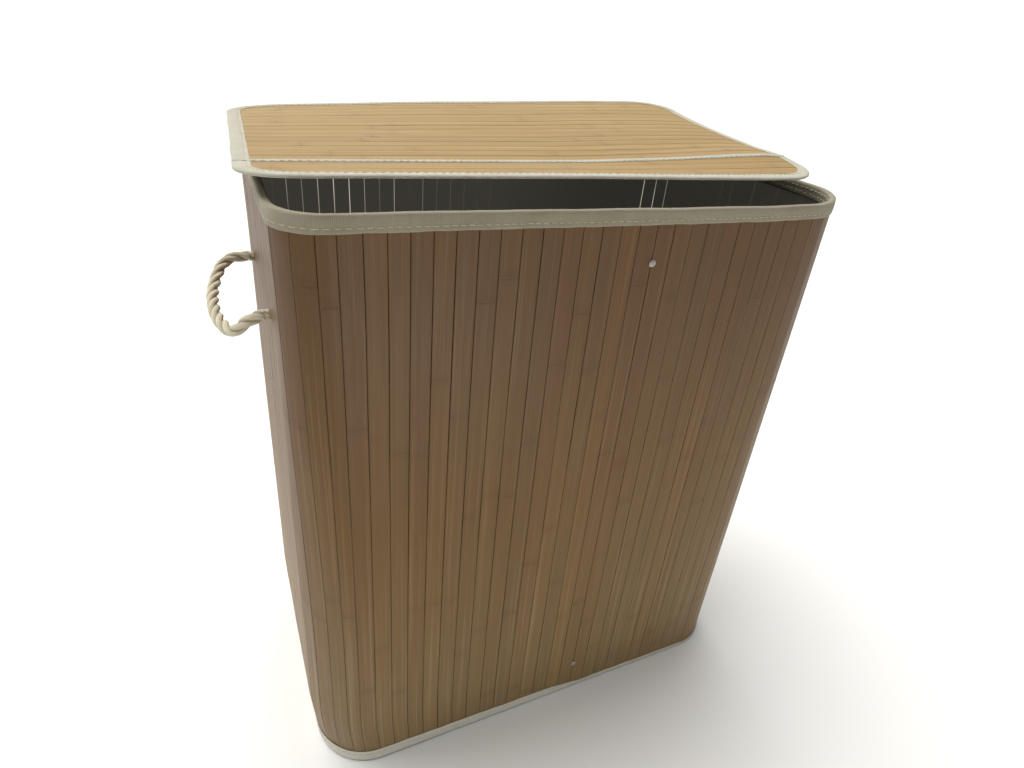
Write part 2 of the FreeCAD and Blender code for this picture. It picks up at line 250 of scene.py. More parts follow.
def sweep(bag, s, prof, closed=True, outl=None, lift=None, mod=None, **attrs):
    """Closed profile [(outward offset, z)] along an outline. lift(x, y) is added to z."""
    prof = np.asarray(prof, float)
    outl = outl or (lambda q: outline(q))
    ss = s[:-1] if closed else s
    p, n = outl(ss)
    off = np.repeat(prof[None, :, 0], len(ss), 0)
    z = np.repeat(prof[None, :, 1], len(ss), 0)
    if mod is not None:
        off, z = mod(ss[:, None], off, z)
    xy = p[:, None, :] + n[:, None, :] * off[..., None]
    if lift is not None:
        z = z + lift(xy[..., 0], xy[..., 1])
    P = np.concatenate([xy, z[..., None]], -1)
    bag.grid(P, ring_uv(s, prof), wrap_i=closed, wrap_j=True, **attrs)


# ------------------------------------------------------------------ materials
class Mat:
    def __init__(self, name):
        self.mat = bpy.data.materials.new(name)
        self.mat.use_nodes = True
        self.t = self.mat.node_tree
        self.t.nodes.clear()
        self.out = self.t.nodes.new("ShaderNodeOutputMaterial")
        self.bsdf = self.t.nodes.new("ShaderNodeBsdfPrincipled")
        self.t.links.new(self.bsdf.outputs[0], self.out.inputs[0])

    def put(self, node, key, val):
        if isinstance(val, bpy.types.NodeSocket):
            self.t.links.new(val, node.inputs[key])
        else:
            node.inputs[key].default_value = val

    def m(self, op, a, b=None, c=None, clamp=False):
        n = self.t.nodes.new("ShaderNodeMath")
        n.operation = op
        n.use_clamp = clamp
        for i, v in enumerate((a, b, c)):
            if v is not None:
                self.put(n, i, v)
        return n.outputs[0]

    def vec(self, x, y, z=0.0):
        n = self.t.nodes.new("ShaderNodeCombineXYZ")
        for i, v in enumerate((x, y, z)):
            self.put(n, i, v)
        return n.outputs[0]

    def sep(self, v):
        n = self.t.nodes.new("ShaderNodeSeparateXYZ")
        self.put(n, 0, v)
        return n.outputs

    def uv(self):
        n = self.t.nodes.new("ShaderNodeUVMap")
        n.uv_map = "UVMap"
        return self.sep(n.outputs[0])

    def obj(self):
        n = self.t.nodes.new("ShaderNodeTexCoord")
        return n.outputs["Object"]

    def attr(self, name):
        n = self.t.nodes.new("ShaderNodeAttribute")
        n.attribute_name = name
        return n.outputs["Fac"]

    def noise(self, v, scale=1.0, detail=2.0, rough=0.5):
        n = self.t.nodes.new("ShaderNodeTexNoise")
        self.put(n, "Vector", v)
        self.put(n, "Scale", scale)
        self.put(n, "Detail", detail)
        self.put(n, "Roughness", rough)
        return n.outputs["Fac"]

    def ramp(self, fac, stops, interp="LINEAR"):
        n = self.t.nodes.new("ShaderNodeValToRGB")
        n.color_ramp.interpolation = interp
        e = n.color_ramp.elements
        while len(e) < len(stops):
            e.new(0.5)
        for el, (pos, col) in zip(e, stops):
            el.position = pos
            el.color = tuple(col) + (1.0,) if len(col) == 3 else col
        self.put(n, 0, fac)
        return n.outputs[0]

    def span(self, v, a, b, c=0.0, d=1.0, smooth=True):
        n = self.t.nodes.new("ShaderNodeMapRange")
        n.interpolation_type = "SMOOTHSTEP" if smooth else "LINEAR"
        n.clamp = True
        for i, x in enumerate((v, a, b, c, d)):
            self.put(n, i, x)
        return n.outputs[0]

    def mix(self, f, a, b, mode="MIX"):
        n = self.t.nodes.new("ShaderNodeMix")
        n.data_type = "RGBA"
        n.blend_type = mode
        self.put(n, 0, f)
        for i, v in ((6, a), (7, b)):
            if isinstance(v, bpy.types.NodeSocket):
                self.t.links.new(v, n.inputs[i])
            else:
                n.inputs[i].default_value = tuple(v) + (1.0,) if len(v) == 3 else v
        return n.outputs[2]

    def bump(self, height, dist=0.0003, strength=1.0):
        n = self.t.nodes.new("ShaderNodeBump")
        self.put(n, "Strength", strength)
        self.put(n, "Distance", dist)
        self.put(n, "Height", height)
        self.t.links.new(n.outputs[0], self.bsdf.inputs["Normal"])

    def set(self, **kw):
        names = {"color": "Base Color", "rough": "Roughness", "metal": "Metallic",
                 "spec": "Specular IOR Level", "sheen": "Sheen Weight", "sheen_rough": "Sheen Roughness",
                 "coat": "Coat Weight", "coat_rough": "Coat Roughness", "ior": "IOR",
                 "trans": "Transmission Weight", "emit": "Emission Color", "glow": "Emission Strength"}
        for k, v in kw.items():
            if k in ("color", "emit") and not isinstance(v, bpy.types.NodeSocket) and len(v) == 3:
                v = tuple(v) + (1.0,)
            self.put(self.bsdf, names[k], v)
        return self


def lin(r, g, b):
    """sRGB 0-255 to linear."""
    return tuple((c / 255 / 12.92) if c / 255 <= 0.04045 else ((c / 255 + 0.055) / 1.055) ** 2.4
                 for c in (r, g, b))


def scaled(c, k):
    return tuple(x * k for x in c)


def bamboo(name, tones, rough=0.46, edge=0.30, contrast=1.0, knots=1.0, spec=0.45, paint_height_light=False):
    """Split bamboo strip: long fibre streaks, tone per strip, faint culm nodes, worn edges.
    UV x is across the strip (0-17 mm), y along it. rnd and rnd2 are per strip."""
    M = Mat(name)
    u, v, _ = M.uv()
    r1, r2 = M.attr("rnd"), M.attr("rnd2")
    shift = M.m("MULTIPLY", r1, 91.0)
    fine = M.noise(M.vec(M.m("MULTIPLY_ADD", u, 1500.0, shift), M.m("MULTIPLY", v, 11.0), M.m("MULTIPLY", r2, 31.0)),
                   detail=3.0, rough=0.6)
    mid = M.noise(M.vec(M.m("MULTIPLY_ADD", u, 420.0, shift), M.m("MULTIPLY", v, 4.2), M.m("MULTIPLY", r1, 17.0)),
                  detail=2.0)
    broad = M.noise(M.vec(M.m("MULTIPLY_ADD", u, 55.0, shift), M.m("MULTIPLY", v, 9.0), M.m("MULTIPLY", r2, 57.0)),
                    detail=3.0, rough=0.55)
    tone = M.ramp(r2, [(i / (len(tones) - 1), t) for i, t in enumerate(tones)])
    col = M.mix(M.span(fine, 0.32, 0.72, 0.0, 0.34 * contrast), tone, (0.42, 0.32, 0.22), "MULTIPLY")
    col = M.mix(M.span(mid, 0.45, 0.75, 0.0, 0.30 * contrast), col, (0.55, 0.45, 0.33), "MULTIPLY")
    col = M.mix(M.span(mid, 0.48, 0.22, 0.0, 0.22 * contrast), col, (1.0, 0.86, 0.62), "SCREEN")
    col = M.mix(M.span(broad, 0.5, 0.8, 0.0, 0.30 * contrast), col, (0.62, 0.52, 0.42), "MULTIPLY")
    height = M.m("MULTIPLY", fine, 0.6)
    if knots > 0:
        jit = M.m("MULTIPLY_ADD", M.noise(M.vec(M.m("MULTIPLY", u, 300.0), r1, r2), detail=1.0), 0.0024, v)
        near = None
        for key in ("n1", "n2", "n3"):
            dist = M.m("ABSOLUTE", M.m("SUBTRACT", M.m("SUBTRACT", jit, 0.0012), M.attr(key)))
            near = dist if near is None else M.m("MINIMUM", near, dist)
        line = M.span(near, 0.0011, 0.0002)
        halo = M.span(near, 0.011, 0.001)
        col = M.mix(M.m("MULTIPLY", halo, 0.22 * knots), col, (0.55, 0.43, 0.32), "MULTIPLY")
        col = M.mix(M.m("MULTIPLY", line, M.m("MULTIPLY_ADD", r1, 0.42 * knots, 0.04 * knots)), col, (0.30, 0.20, 0.13), "MULTIPLY")
        height = M.m("ADD", height, M.m("MULTIPLY", halo, 0.7))
        height = M.m("SUBTRACT", height, M.m("MULTIPLY", line, 0.5))
    e = M.attr("edge")
    col = M.mix(M.m("MULTIPLY", M.span(e, 0.90, 1.0), edge), col, (0.20, 0.14, 0.09), "MULTIPLY")
    if paint_height_light:
        # painted light: the strips are painted paler and greyer low down, as if lit by light thrown up from the floor,
        # and darker and browner up under the rim as painted shade
        height_light_ramp = M.ramp(M.sep(M.obj())[2], [(0.07, (1.0, 1.0, 1.0)), (0.32, (0.71, 0.565, 0.28)), (0.55, (0.52, 0.375, 0.18))])
        col = M.mix(1.0, col, height_light_ramp, "MULTIPLY")
    M.set(color=col, rough=M.span(fine, 0.2, 0.8, rough - 0.08, rough + 0.14), spec=spec)
    M.bump(height, 0.00022, 0.75)
    return M.mat


def woven(name, base, rib=0.00125, yarn=0.00095, dirt=0.35, seed=0.0, rough=0.85, fold=False):
    """Ribbed cotton tape. UV x along the tape, y across it, metres."""
    M = Mat(name)
    u, v, _ = M.uv()
    warp_n = M.noise(M.vec(M.m("MULTIPLY", u, 60.0), M.m("MULTIPLY", v, 60.0), seed), detail=2.0)
    uu = M.m("MULTIPLY_ADD", warp_n, 0.0006, u)
    vv = M.m("MULTIPLY_ADD", warp_n, 0.0005, v)
    a = M.m("SINE", M.m("MULTIPLY", uu, 2 * math.pi / rib))
    b = M.m("SINE", M.m("MULTIPLY", vv, 2 * math.pi / yarn))
    chk = M.m("MULTIPLY", a, b)
    h = M.m("ADD", M.m("MULTIPLY", a, 0.55), M.m("MULTIPLY", chk, 0.45))
    h01 = M.m("MULTIPLY_ADD", h, 0.5, 0.5)
    fuzz = M.noise(M.vec(M.m("MULTIPLY", u, 2600.0), M.m("MULTIPLY", v, 2600.0), seed), detail=2.0)
    slub = M.noise(M.vec(M.m("MULTIPLY", u, 900.0), M.m("MULTIPLY", v, 60.0), seed + 3.0), detail=2.0)
    soil = M.noise(M.vec(M.m("MULTIPLY", u, 22.0), M.m("MULTIPLY", v, 45.0), seed + 9.0), detail=4.0, rough=0.6)
    col = M.mix(M.span(h01, 0.0, 0.9, 0.42, 0.0), base, (0.45, 0.41, 0.33), "MULTIPLY")
    col = M.mix(M.span(slub, 0.45, 0.8, 0.0, 0.25), col, (0.72, 0.68, 0.58), "MULTIPLY")
    col = M.mix(M.span(soil, 0.42, 0.75, 0.0, dirt), col, (0.62, 0.58, 0.46), "MULTIPLY")
    col = M.mix(M.span(fuzz, 0.55, 0.8, 0.0, 0.18), col, (1.0, 1.0, 0.96), "SCREEN")
    if fold:
        # the tape's colour is made darker over its lowest 2.6 mm, most below 1.2 mm, next to the floor
        z = M.m("ADD", M.sep(M.obj())[2], M.m("MULTIPLY", soil, 0.0016))
        col = M.mix(M.span(z, 0.0026, 0.0012, 0.0, 0.7), col, (0.30, 0.25, 0.19), "MULTIPLY")
    M.set(color=col, rough=M.span(fuzz, 0.2, 0.8, rough - 0.08, rough + 0.08), spec=0.2, sheen=0.15, sheen_rough=0.5)
    M.bump(M.m("ADD", h01, M.m("MULTIPLY", fuzz, 0.5)), 0.0003, 0.8)
    return M.mat


def cotton_thread(name, base):
    M = Mat(name)
    u, v, _ = M.uv()
    twist = M.m("SINE", M.m("MULTIPLY", M.m("ADD", u, M.m("MULTIPLY", v, 0.7)), 2 * math.pi / 0.0009))
    f = M.noise(M.vec(M.m("MULTIPLY", u, 900.0), M.m("MULTIPLY", v, 900.0), 1.0), detail=2.0)
    col = M.mix(M.span(twist, -1.0, 1.0, 0.35, 0.0), base, (0.55, 0.5, 0.42), "MULTIPLY")
    col = M.mix(M.span(f, 0.4, 0.8, 0.0, 0.2), col, (0.7, 0.66, 0.58), "MULTIPLY")
    M.set(color=col, rough=0.8, spec=0.25)
    M.bump(twist, 0.0001, 0.6)
    return M.mat


def felt(name, base, lines=False, glow_col=(1.0, 0.93, 0.78), glow=0.0):
    """Thin non-woven backing; with lines=True daylight where two strips meet is painted on as an emission glow."""
    M = Mat(name)
    p = M.obj()
    fib = M.noise(p, 900.0, 4.0, 0.65)
    soft = M.noise(p, 60.0, 3.0)
    x, y, z = M.sep(p)
    wv = M.m("MULTIPLY", M.m("SINE", M.m("MULTIPLY", z, 2 * math.pi / 0.0016)),
             M.m("SINE", M.m("MULTIPLY", M.m("ADD", x, y), 2 * math.pi / 0.0016)))
    col = M.mix(M.span(fib, 0.3, 0.75, 0.0, 0.55), base, (0.45, 0.43, 0.40), "MULTIPLY")
    col = M.mix(M.span(soft, 0.45, 0.8, 0.0, 0.25), col, (0.6, 0.58, 0.55), "MULTIPLY")
    M.set(color=col, rough=M.span(fib, 0.2, 0.8, 0.78, 0.95), spec=0.25)
    M.bump(M.m("ADD", fib, M.m("MULTIPLY", wv, 0.4)), 0.00025, 0.7)
    if lines:
        g = M.attr("glow")
        streak = M.noise(M.vec(M.m("MULTIPLY", x, 40.0), M.m("MULTIPLY", y, 40.0), M.m("MULTIPLY", z, 16.0)),
                         1.0, 2.0)
        k = M.m("MULTIPLY", M.m("POWER", g, 1.6), M.span(streak, 0.25, 0.6, 0.35, 1.0))
        # painted light: a faint emission glow over the whole cloth stands for daylight coming through it, a little
        # stronger towards -X
        M.set(emit=glow_col, glow=M.m("MULTIPLY_ADD", k, glow, M.span(x, -0.02, 0.20, 0.037, 0.023)))
    return M.mat


def board(name, base, dark):
    M = Mat(name)
    p = M.obj()
    a = M.noise(p, 700.0, 4.0, 0.7)
    b = M.noise(p, 90.0, 3.0)
    col = M.mix(M.span(a, 0.35, 0.7, 0.0, 0.6), base, dark)
    col = M.mix(M.span(b, 0.45, 0.75, 0.0, 0.3), col, (0.7, 0.65, 0.6), "MULTIPLY")
    M.set(color=col, rough=M.span(b, 0.3, 0.7, 0.62, 0.8), spec=0.3)
    M.bump(a, 0.0002, 0.6)
    return M.mat


def timber(name, base, dark):
    M = Mat(name)
    x, y, z = M.sep(M.obj())
    g = M.noise(M.vec(M.m("MULTIPLY", x, 260.0), M.m("MULTIPLY", y, 260.0), M.m("MULTIPLY", z, 5.0)), 1.0, 4.0, 0.6)
    f = M.noise(M.vec(M.m("MULTIPLY", x, 1600.0), M.m("MULTIPLY", y, 1600.0), M.m("MULTIPLY", z, 30.0)), 1.0, 2.0)
    col = M.mix(M.span(g, 0.35, 0.7), base, dark)
    col = M.mix(M.span(f, 0.5, 0.8, 0.0, 0.4), col, (0.6, 0.5, 0.4), "MULTIPLY")
    M.set(color=col, rough=M.span(g, 0.3, 0.7, 0.5, 0.68), spec=0.35)
    M.bump(M.m("ADD", g, f), 0.00015, 0.6)
    return M.mat


def metal(name, base, rough=0.3):
    M = Mat(name)
    p = M.obj()
    a = M.noise(p, 300.0, 4.0, 0.6)
    x, y, z = M.sep(p)
    b = M.noise(M.vec(M.m("MULTIPLY", x, 60.0), M.m("MULTIPLY", y, 60.0), M.m("MULTIPLY", z, 2500.0)), 1.0, 2.0)
    col = M.mix(M.span(a, 0.5, 0.8, 0.0, 0.35), base, scaled(base, 0.55))
    M.set(color=col, metal=1.0, rough=M.span(b, 0.2, 0.8, rough - 0.08, rough + 0.15))
    M.bump(b, 0.00004, 0.6)
    return M.mat


def plastic(name, base):
    M = Mat(name)
    a = M.noise(M.obj(), 1400.0, 3.0)
    M.set(color=M.mix(M.span(a, 0.4, 0.8, 0.0, 0.3), base, scaled(base, 0.75)),
          rough=M.span(a, 0.2, 0.8, 0.16, 0.3), spec=0.6, coat=0.4, coat_rough=0.1, trans=0.35)
    M.bump(a, 0.00004, 0.5)
    return M.mat


def cotton_rope(name, base):
    """Laid cotton: yarns run along each strand; UV x along, y round, in metres."""
    M = Mat(name)
    u, v, _ = M.uv()
    n = M.noise(M.vec(M.m("MULTIPLY", u, 120.0), M.m("MULTIPLY", v, 120.0), 2.0), detail=2.0)
    yarn = M.m("SINE", M.m("ADD", M.m("MULTIPLY", M.m("ADD", M.m("MULTIPLY", v, 1.0), M.m("MULTIPLY", u, 0.35)),
                                      2 * math.pi / 0.00125), M.m("MULTIPLY", n, 3.0)))
    fuzz = M.noise(M.vec(M.m("MULTIPLY", u, 1500.0), M.m("MULTIPLY", v, 3000.0), 5.0), detail=3.0, rough=0.6)
    soil = M.noise(M.vec(M.m("MULTIPLY", u, 60.0), M.m("MULTIPLY", v, 90.0), 7.0), detail=3.0)
    deep = M.attr("deep")
    col = M.mix(M.span(yarn, -1.0, 0.6, 0.38, 0.0), base, (0.52, 0.46, 0.34), "MULTIPLY")
    col = M.mix(M.span(soil, 0.45, 0.75, 0.0, 0.35), col, (0.66, 0.60, 0.46), "MULTIPLY")
    col = M.mix(M.span(fuzz, 0.5, 0.8, 0.0, 0.22), col, (1.0, 0.98, 0.9), "SCREEN")
    # painted shade: the colour is darkened deep in the grooves between the strands
    col = M.mix(M.m("MULTIPLY", M.m("POWER", deep, 1.5), 0.7), col, (0.36, 0.30, 0.22), "MULTIPLY")
    M.set(color=col, rough=M.span(fuzz, 0.2, 0.8, 0.75, 0.95), spec=0.2, sheen=0.2, sheen_rough=0.5)
    M.bump(M.m("ADD", yarn, M.m("MULTIPLY", fuzz, 0.8)), 0.00025, 0.8)
    return M.mat


# painted shade: the wall tones are made darker than the lid tones, because the walls are the same bamboo standing in
# shade while the lid is lit
WALL_K = (0.74, 0.79, 0.57)
LID_K = (0.47, 0.40, 0.14)


def tones(k, *rgb):
    return [tuple(a * b for a, b in zip(lin(*c), k)) for c in rgb]


WALL_TONES = tones(WALL_K, (143, 109, 78), (149, 115, 83), (144, 114, 85), (153, 119, 85), (147, 118, 89))
LID_TONES = tones(LID_K, (208, 175, 122), (214, 183, 130), (205, 172, 120), (217, 187, 134), (210, 178, 129))
m_wall = bamboo("bamboo_wall", WALL_TONES, rough=0.44, edge=0.20, contrast=0.36, knots=0.6, paint_height_light=True, spec=0.35)
m_lid = bamboo("bamboo_lid", LID_TONES, rough=0.5, edge=0.08, contrast=0.62, knots=0.75)
m_base = bamboo("bamboo_base", WALL_TONES, rough=0.5, edge=0.3, contrast=0.7)
m_rim = woven("rim_tape", lin(153, 147, 127), seed=1.0)
m_foot = woven("foot_tape", lin(222, 220, 210), seed=4.0, dirt=0.25, fold=True)
m_ltape = woven("lid_tape", lin(194, 191, 177), seed=7.0, dirt=0.3)
m_thread = cotton_thread("thread", lin(206, 198, 170))
m_liner = felt("dark_backing", lin(96, 88, 80), lines=True, glow=0.75)
m_lback = felt("lid_backing", lin(84, 74, 62))
m_steel = metal("spring_steel", lin(120, 124, 130), 0.35)
m_eye = metal("eyelet_steel", lin(170, 166, 155), 0.28)
m_board = board("fibreboard", lin(134, 104, 76), lin(84, 62, 45))
m_timber = timber("batten_wood", lin(190, 160, 118), lin(150, 118, 82))
m_rivet = plastic("rivet_plastic", lin(176, 170, 156))
m_rope = cotton_rope("rope", lin(226, 219, 196))


# -------------------------------------------------------------- wall strips
def rim_top(x, y):
    """Height of the rim: its front edge sags a little towards the right."""
    sag = np.interp(x, [-263, -200, -100, 0, 80, 150, 210, 245, 263], [0.0, 0.0, -0.8, -2.2, -3.0, -3.6, -3.0, -1.6, -0.6])
    return 600.9 + sag * np.clip((-np.asarray(y, float) - 60.0) / 80.0, 0, 1)


RIM_TALL = 12.8

BACK_SHIFT = 2.7        # the joints on the back wall sit this much further round


def joint_s(k):
    s = -2.6 + np.asarray(k, float) * PITCH
    sm = np.mod(s, PERIM)
    # strips near the front left corner are cut a little narrower
    lead = np.interp(sm - PERIM, [A6 - PERIM, A7 - PERIM, -260, -243, -226, -208, -191, -174, -157, -140, -110],
                     [0, 10.0, 12.0, 10.0, 5.2, 3.4, 2.6, 1.4, 1.0, 0.5, 0])
    return s + lead - np.interp(sm, [0, A1, A4, A5, A8, PERIM], [0, 0, BACK_SHIFT, BACK_SHIFT, 0, 0])


def node_heights(g, n=3, lo=20.0, hi=590.0, gap=150.0):
    first = g.uniform(lo, lo + 230.0)
    step = g.uniform(190.0, 330.0)
    return [first + i * step + g.uniform(-12, 12) for i in range(n)]


def strip_ring(width, t, crown=0.10, top=0.0):
    """Closed section of one strip: (across 0..1, depth from the face). The outer face comes first."""
    w = width
    a = [(0.0, 0.55), (0.14 / w, 0.22), (0.45 / w, 0.05), (1.3 / w, 0.0), (0.28, -0.7 * crown), (0.5, -crown)]
    b = [(1 - x, y) for x, y in a[:-1]][::-1]
    return np.array(a + b + [(1.0, t - 0.25), (1 - 0.25 / w, t), (0.25 / w, t), (0.0, t - 0.25)])


def wall_strips():
    bag = Bag()
    for k in range(N_SLATS):
        g = rnd_of(1000 + k)
        s0, s1 = float(joint_s(k)) + 0.13, float(joint_s(k + 1)) - 0.13
        (p0, p1), (n0, n1) = outline([s0, s1])
        width = float(np.linalg.norm(p1 - p0))
        nh = node_heights(g)
        ztop = float(rim_top(np.array([p0[0]]), np.array([p0[1]]))[0]) - 1.6
        rows = set(np.linspace(0.9, ztop, 44).round(2))
        for h in nh:
            for dz in (-5, -2.5, -1, 0, 1, 2.5, 5):
                if 2 < h + dz < ztop - 2:
                    rows.add(round(h + dz, 2))
        z = np.array(sorted(rows))
        sec = strip_ring(width, SLAT_T)
        chord = p1 - p0
        nn = np.array([chord[1], -chord[0]]) / width
        proud = g.uniform(-0.10, 0.12)
        left = wobble(z, 20 + k, 130.0, 0.10)
        right = wobble(z, 520 + k, 150.0, 0.10)
        bow = wobble(z, 920 + k, 260.0, 0.10)
        ridge = np.zeros_like(z)
        for h in nh:
            ridge += 0.16 * np.exp(-((z - h) / 2.4) ** 2) - 0.10 * np.exp(-((z - h) / 0.7) ** 2)
        t = sec[None, :, 0]
        dep = np.repeat(sec[None, :, 1], len(z), 0) - proud - bow[:, None]
        outer = (sec[:, 1] < 0.3)
        dep[:, outer] -= ridge[:, None]
        across = t * width + left[:, None] * (1 - t) + right[:, None] * t
        P = np.zeros((len(z), sec.shape[0], 3))
        P[..., :2] = p0 + across[..., None] * (chord / width) - dep[..., None] * nn
        P[..., 2] = z[:, None]
        tt = np.append(sec[:, 0], 0.0) * width * MM
        V, U = np.meshgrid(z * MM, tt, indexing="ij")
        edge = np.abs(2 * np.clip(sec[:, 0], 0, 1) - 1)
        bag.grid(P, np.stack([U, V], -1), rnd=g.uniform(), rnd2=g.uniform(), n1=nh[0] * MM, n2=nh[1] * MM,
                 n3=nh[2] * MM, edge=np.repeat(edge[None], len(z), 0))
    return bag.done("wall_strips", m_wall, shape=body_shape, body="basket", slot="bamboo_wall", sharp=50, replaces=(
        "front_wall_slats", "back_wall_slats", "left_wall_slats", "right_wall_slats",
        "front_left_corner_slats", "front_right_corner_slats", "back_left_corner_slats",
        "back_right_corner_slats"))


wall_strips()


def punch(ob, cutters):
    """Boolean-cuts plain cylinders out of a mesh and removes them."""
    for c in cutters:
        mod = ob.modifiers.new("cut", "BOOLEAN")
        mod.operation, mod.object, mod.solver = "DIFFERENCE", c, "EXACT"
    dg = bpy.context.evaluated_depsgraph_get()
    me = bpy.data.meshes.new_from_object(ob.evaluated_get(dg), preserve_all_data_layers=True, depsgraph=dg)
    ob.modifiers.clear()
    old = ob.data
    ob.data = me
    bpy.data.meshes.remove(old)
    for c in cutters:
        bpy.data.objects.remove(c)


# ------------------------------------------------------- dark backing, one ring
def liner():
    g = rnd_of(5)
    cols, glow = [], []
    # brightness of the daylight line at each joint
    bright = g.uniform(0.0, 0.30, N_SLATS + 1)
    for k in range(N_SLATS):
        s = float(joint_s(k)) % PERIM
        if A4 - 8 <= s <= A5 + 40:
            table = {61: 0.15, 60: 0.55, 59: 0.42, 58: 0.75, 57: 1.0, 56: 0.95, 55: 0.80, 54: 0.30, 53: 0.62, 52: 0.06,
                     51: 0.38, 50: 0.28, 49: 0.26, 48: 0.18, 47: 0.14, 46: 0.10, 45: 0.16, 44: 0.06}
            bright[k] = table.get(k, 0.05)
        if k in (31, 32, 33):
            bright[k] = {33: 0.95, 32: 0.9, 31: 0.6}[k]
        elif A3 - 60 < s < A4 - 8:
            bright[k] = 0.04
    for k in range(N_SLATS):
        s = float(joint_s(k)) % PERIM
        for ds, on in ((-0.55, 0), (-0.15, 1), (0.15, 1), (0.55, 0), (PITCH * 0.33, 0), (PITCH * 0.66, 0)):
            cols.append((s + ds) % PERIM)
            glow.append(bright[k] * on)
    order = np.argsort(cols)
    s = np.array(cols)[order]
    gl = np.array(glow)[order]
    p, n = outline(s)
    zz = np.concatenate([np.linspace(0.9, 560, 14), np.linspace(570, 599.2, 4)])
    inner = p[:, None, :] - n[:, None, :] * 3.7
    outer = p[:, None, :] - n[:, None, :] * 3.05
    m = len(zz)
    P = np.zeros((len(s), 2 * m, 3))
    fall = (rim_top(p[:, 0], p[:, 1]) - 600.9)[:, None]
    P[:, :m, :2], P[:, :m, 2] = np.repeat(inner, m, 1), zz[None] + fall * np.clip((zz[None] - 480) / 120, 0, 1)
    P[:, m:, :2], P[:, m:, 2] = np.repeat(outer, m, 1), P[:, :m, 2][:, ::-1]
    uvs = np.zeros((len(s) + 1, 2 * m + 1, 2))
    uvs[:, :, 0] = (np.append(s, s[0] + PERIM) * MM)[:, None]
    uvs[:, :, 1] = (np.concatenate([zz, zz[::-1], zz[:1]]) * MM)[None]
    bag = Bag()
    gg = np.repeat(gl[:, None], 2 * m, 1)
    gg[:, m:] = 0
    bag.grid(P, uvs, wrap_i=True, wrap_j=True, glow=gg)
    return bag.done("backing_cloth", m_liner, shape=body_shape, body="basket", slot="dark_backing", replaces=(
        "front_backing_cloth", "back_backing_cloth", "left_backing_cloth", "right_backing_cloth",
        "front_left_backing_cloth", "front_right_backing_cloth", "back_left_backing_cloth",
        "back_right_backing_cloth"))


liner()


# ------------------------------------------------------------- sewn-on tapes


def rim_tape():
    bag = Bag()
    s = stations(straight=6.0, arc=2.5)
    prof = [(0.62, 0.0), (0.86, 0.6), (0.86, 2.3), (0.62, 3.7), (0.88, 5.2), (0.98, 7.6), (0.9, 10.0),
            (0.62, 11.8), (-0.1, 12.5), (-1.2, 12.8), (-3.4, 12.8), (-4.5, 12.5), (-5.15, 11.7),
            (-5.35, 10.0), (-5.35, 5.5), (-5.15, 3.7), (-5.35, 2.0), (-5.35, 0.6), (-5.15, 0.0),
            (-4.55, 0.1), (-4.5, 9.6), (-4.0, 11.5), (-1.0, 11.95), (0.02, 11.3), (0.05, 0.3)]

    def mod(ss, off, z):
        p, _ = outline(np.ravel(ss))
        top = rim_top(p[:, 0], p[:, 1]).reshape(np.shape(ss)) - RIM_TALL
        low = z < 1.5
        high = z > 11
        zz = z + top
        zz = np.where(low, zz + wobble(ss, 31, 23.0, 0.35), zz)
        zz = np.where(high, zz + wobble(ss, 32, 90.0, 0.40) + wobble(ss, 33, 17.0, 0.10), zz)
        off = np.where(off > 0.5, off + wobble(ss + z * 2.0, 34, 31.0, 0.14), off)
        return off, zz

    sweep(bag, s, prof, mod=mod)
    return bag.done("rim_tape", m_rim, body="basket", slot="rim_tape", sharp=60, replaces=("rim_binding_tape",),
                    shape=body_shape)


def foot_tall(x, y):
    """The foot tape covers less of the strips towards the right-hand end of the front."""
    t = np.interp(x, [-263, -200, -125, -78, -38, 2, 28, 45, 90, 160, 220, 263],
                  [16, 16, 14.5, 13.5, 13, 12, 8.5, 6.4, 6, 5, 4.6, 6])
    return np.where(np.asarray(y) < 60, t, 13.0)


def foot_tape():
    bag = Bag()
    s = stations(straight=6.0, arc=2.5)
    prof = [(0.62, 15.0), (0.88, 14.2), (0.86, 12.2), (0.66, 10.8), (0.9, 9.2), (1.0, 5.0), (0.9, 1.6), (0.55, 0.45),
            (-0.2, 0.05), (-4.4, 0.05), (-5.15, 0.6), (-5.3, 2.2), (-5.3, 14.2), (-5.1, 15.0), (-4.55, 14.9),
            (-4.5, 1.6), (-4.2, 0.85), (0.0, 0.85), (0.06, 1.5), (0.06, 14.8)]

    def mod(ss, off, z):
        p, _ = outline(np.ravel(ss))
        x = p[:, 0].reshape(np.shape(ss))
        y = p[:, 1].reshape(np.shape(ss))
        tall = foot_tall(x, y)
        top = z > 7
        scale = tall / 15.0
        z = np.where(top, z * scale + wobble(ss, 41, 27.0, 0.45), np.minimum(z, z * scale + 0.6))
        off = np.where(off > 0.5, off + wobble(ss + z * 2.0, 44, 37.0, 0.14), off)
        return off, z

    sweep(bag, s, prof, mod=mod)
    return bag.done("foot_tape", m_foot, body="basket", slot="foot_tape", sharp=60, replaces=("foot_binding_tape",),
                    shape=body_shape)


rim_tape()
foot_tape()


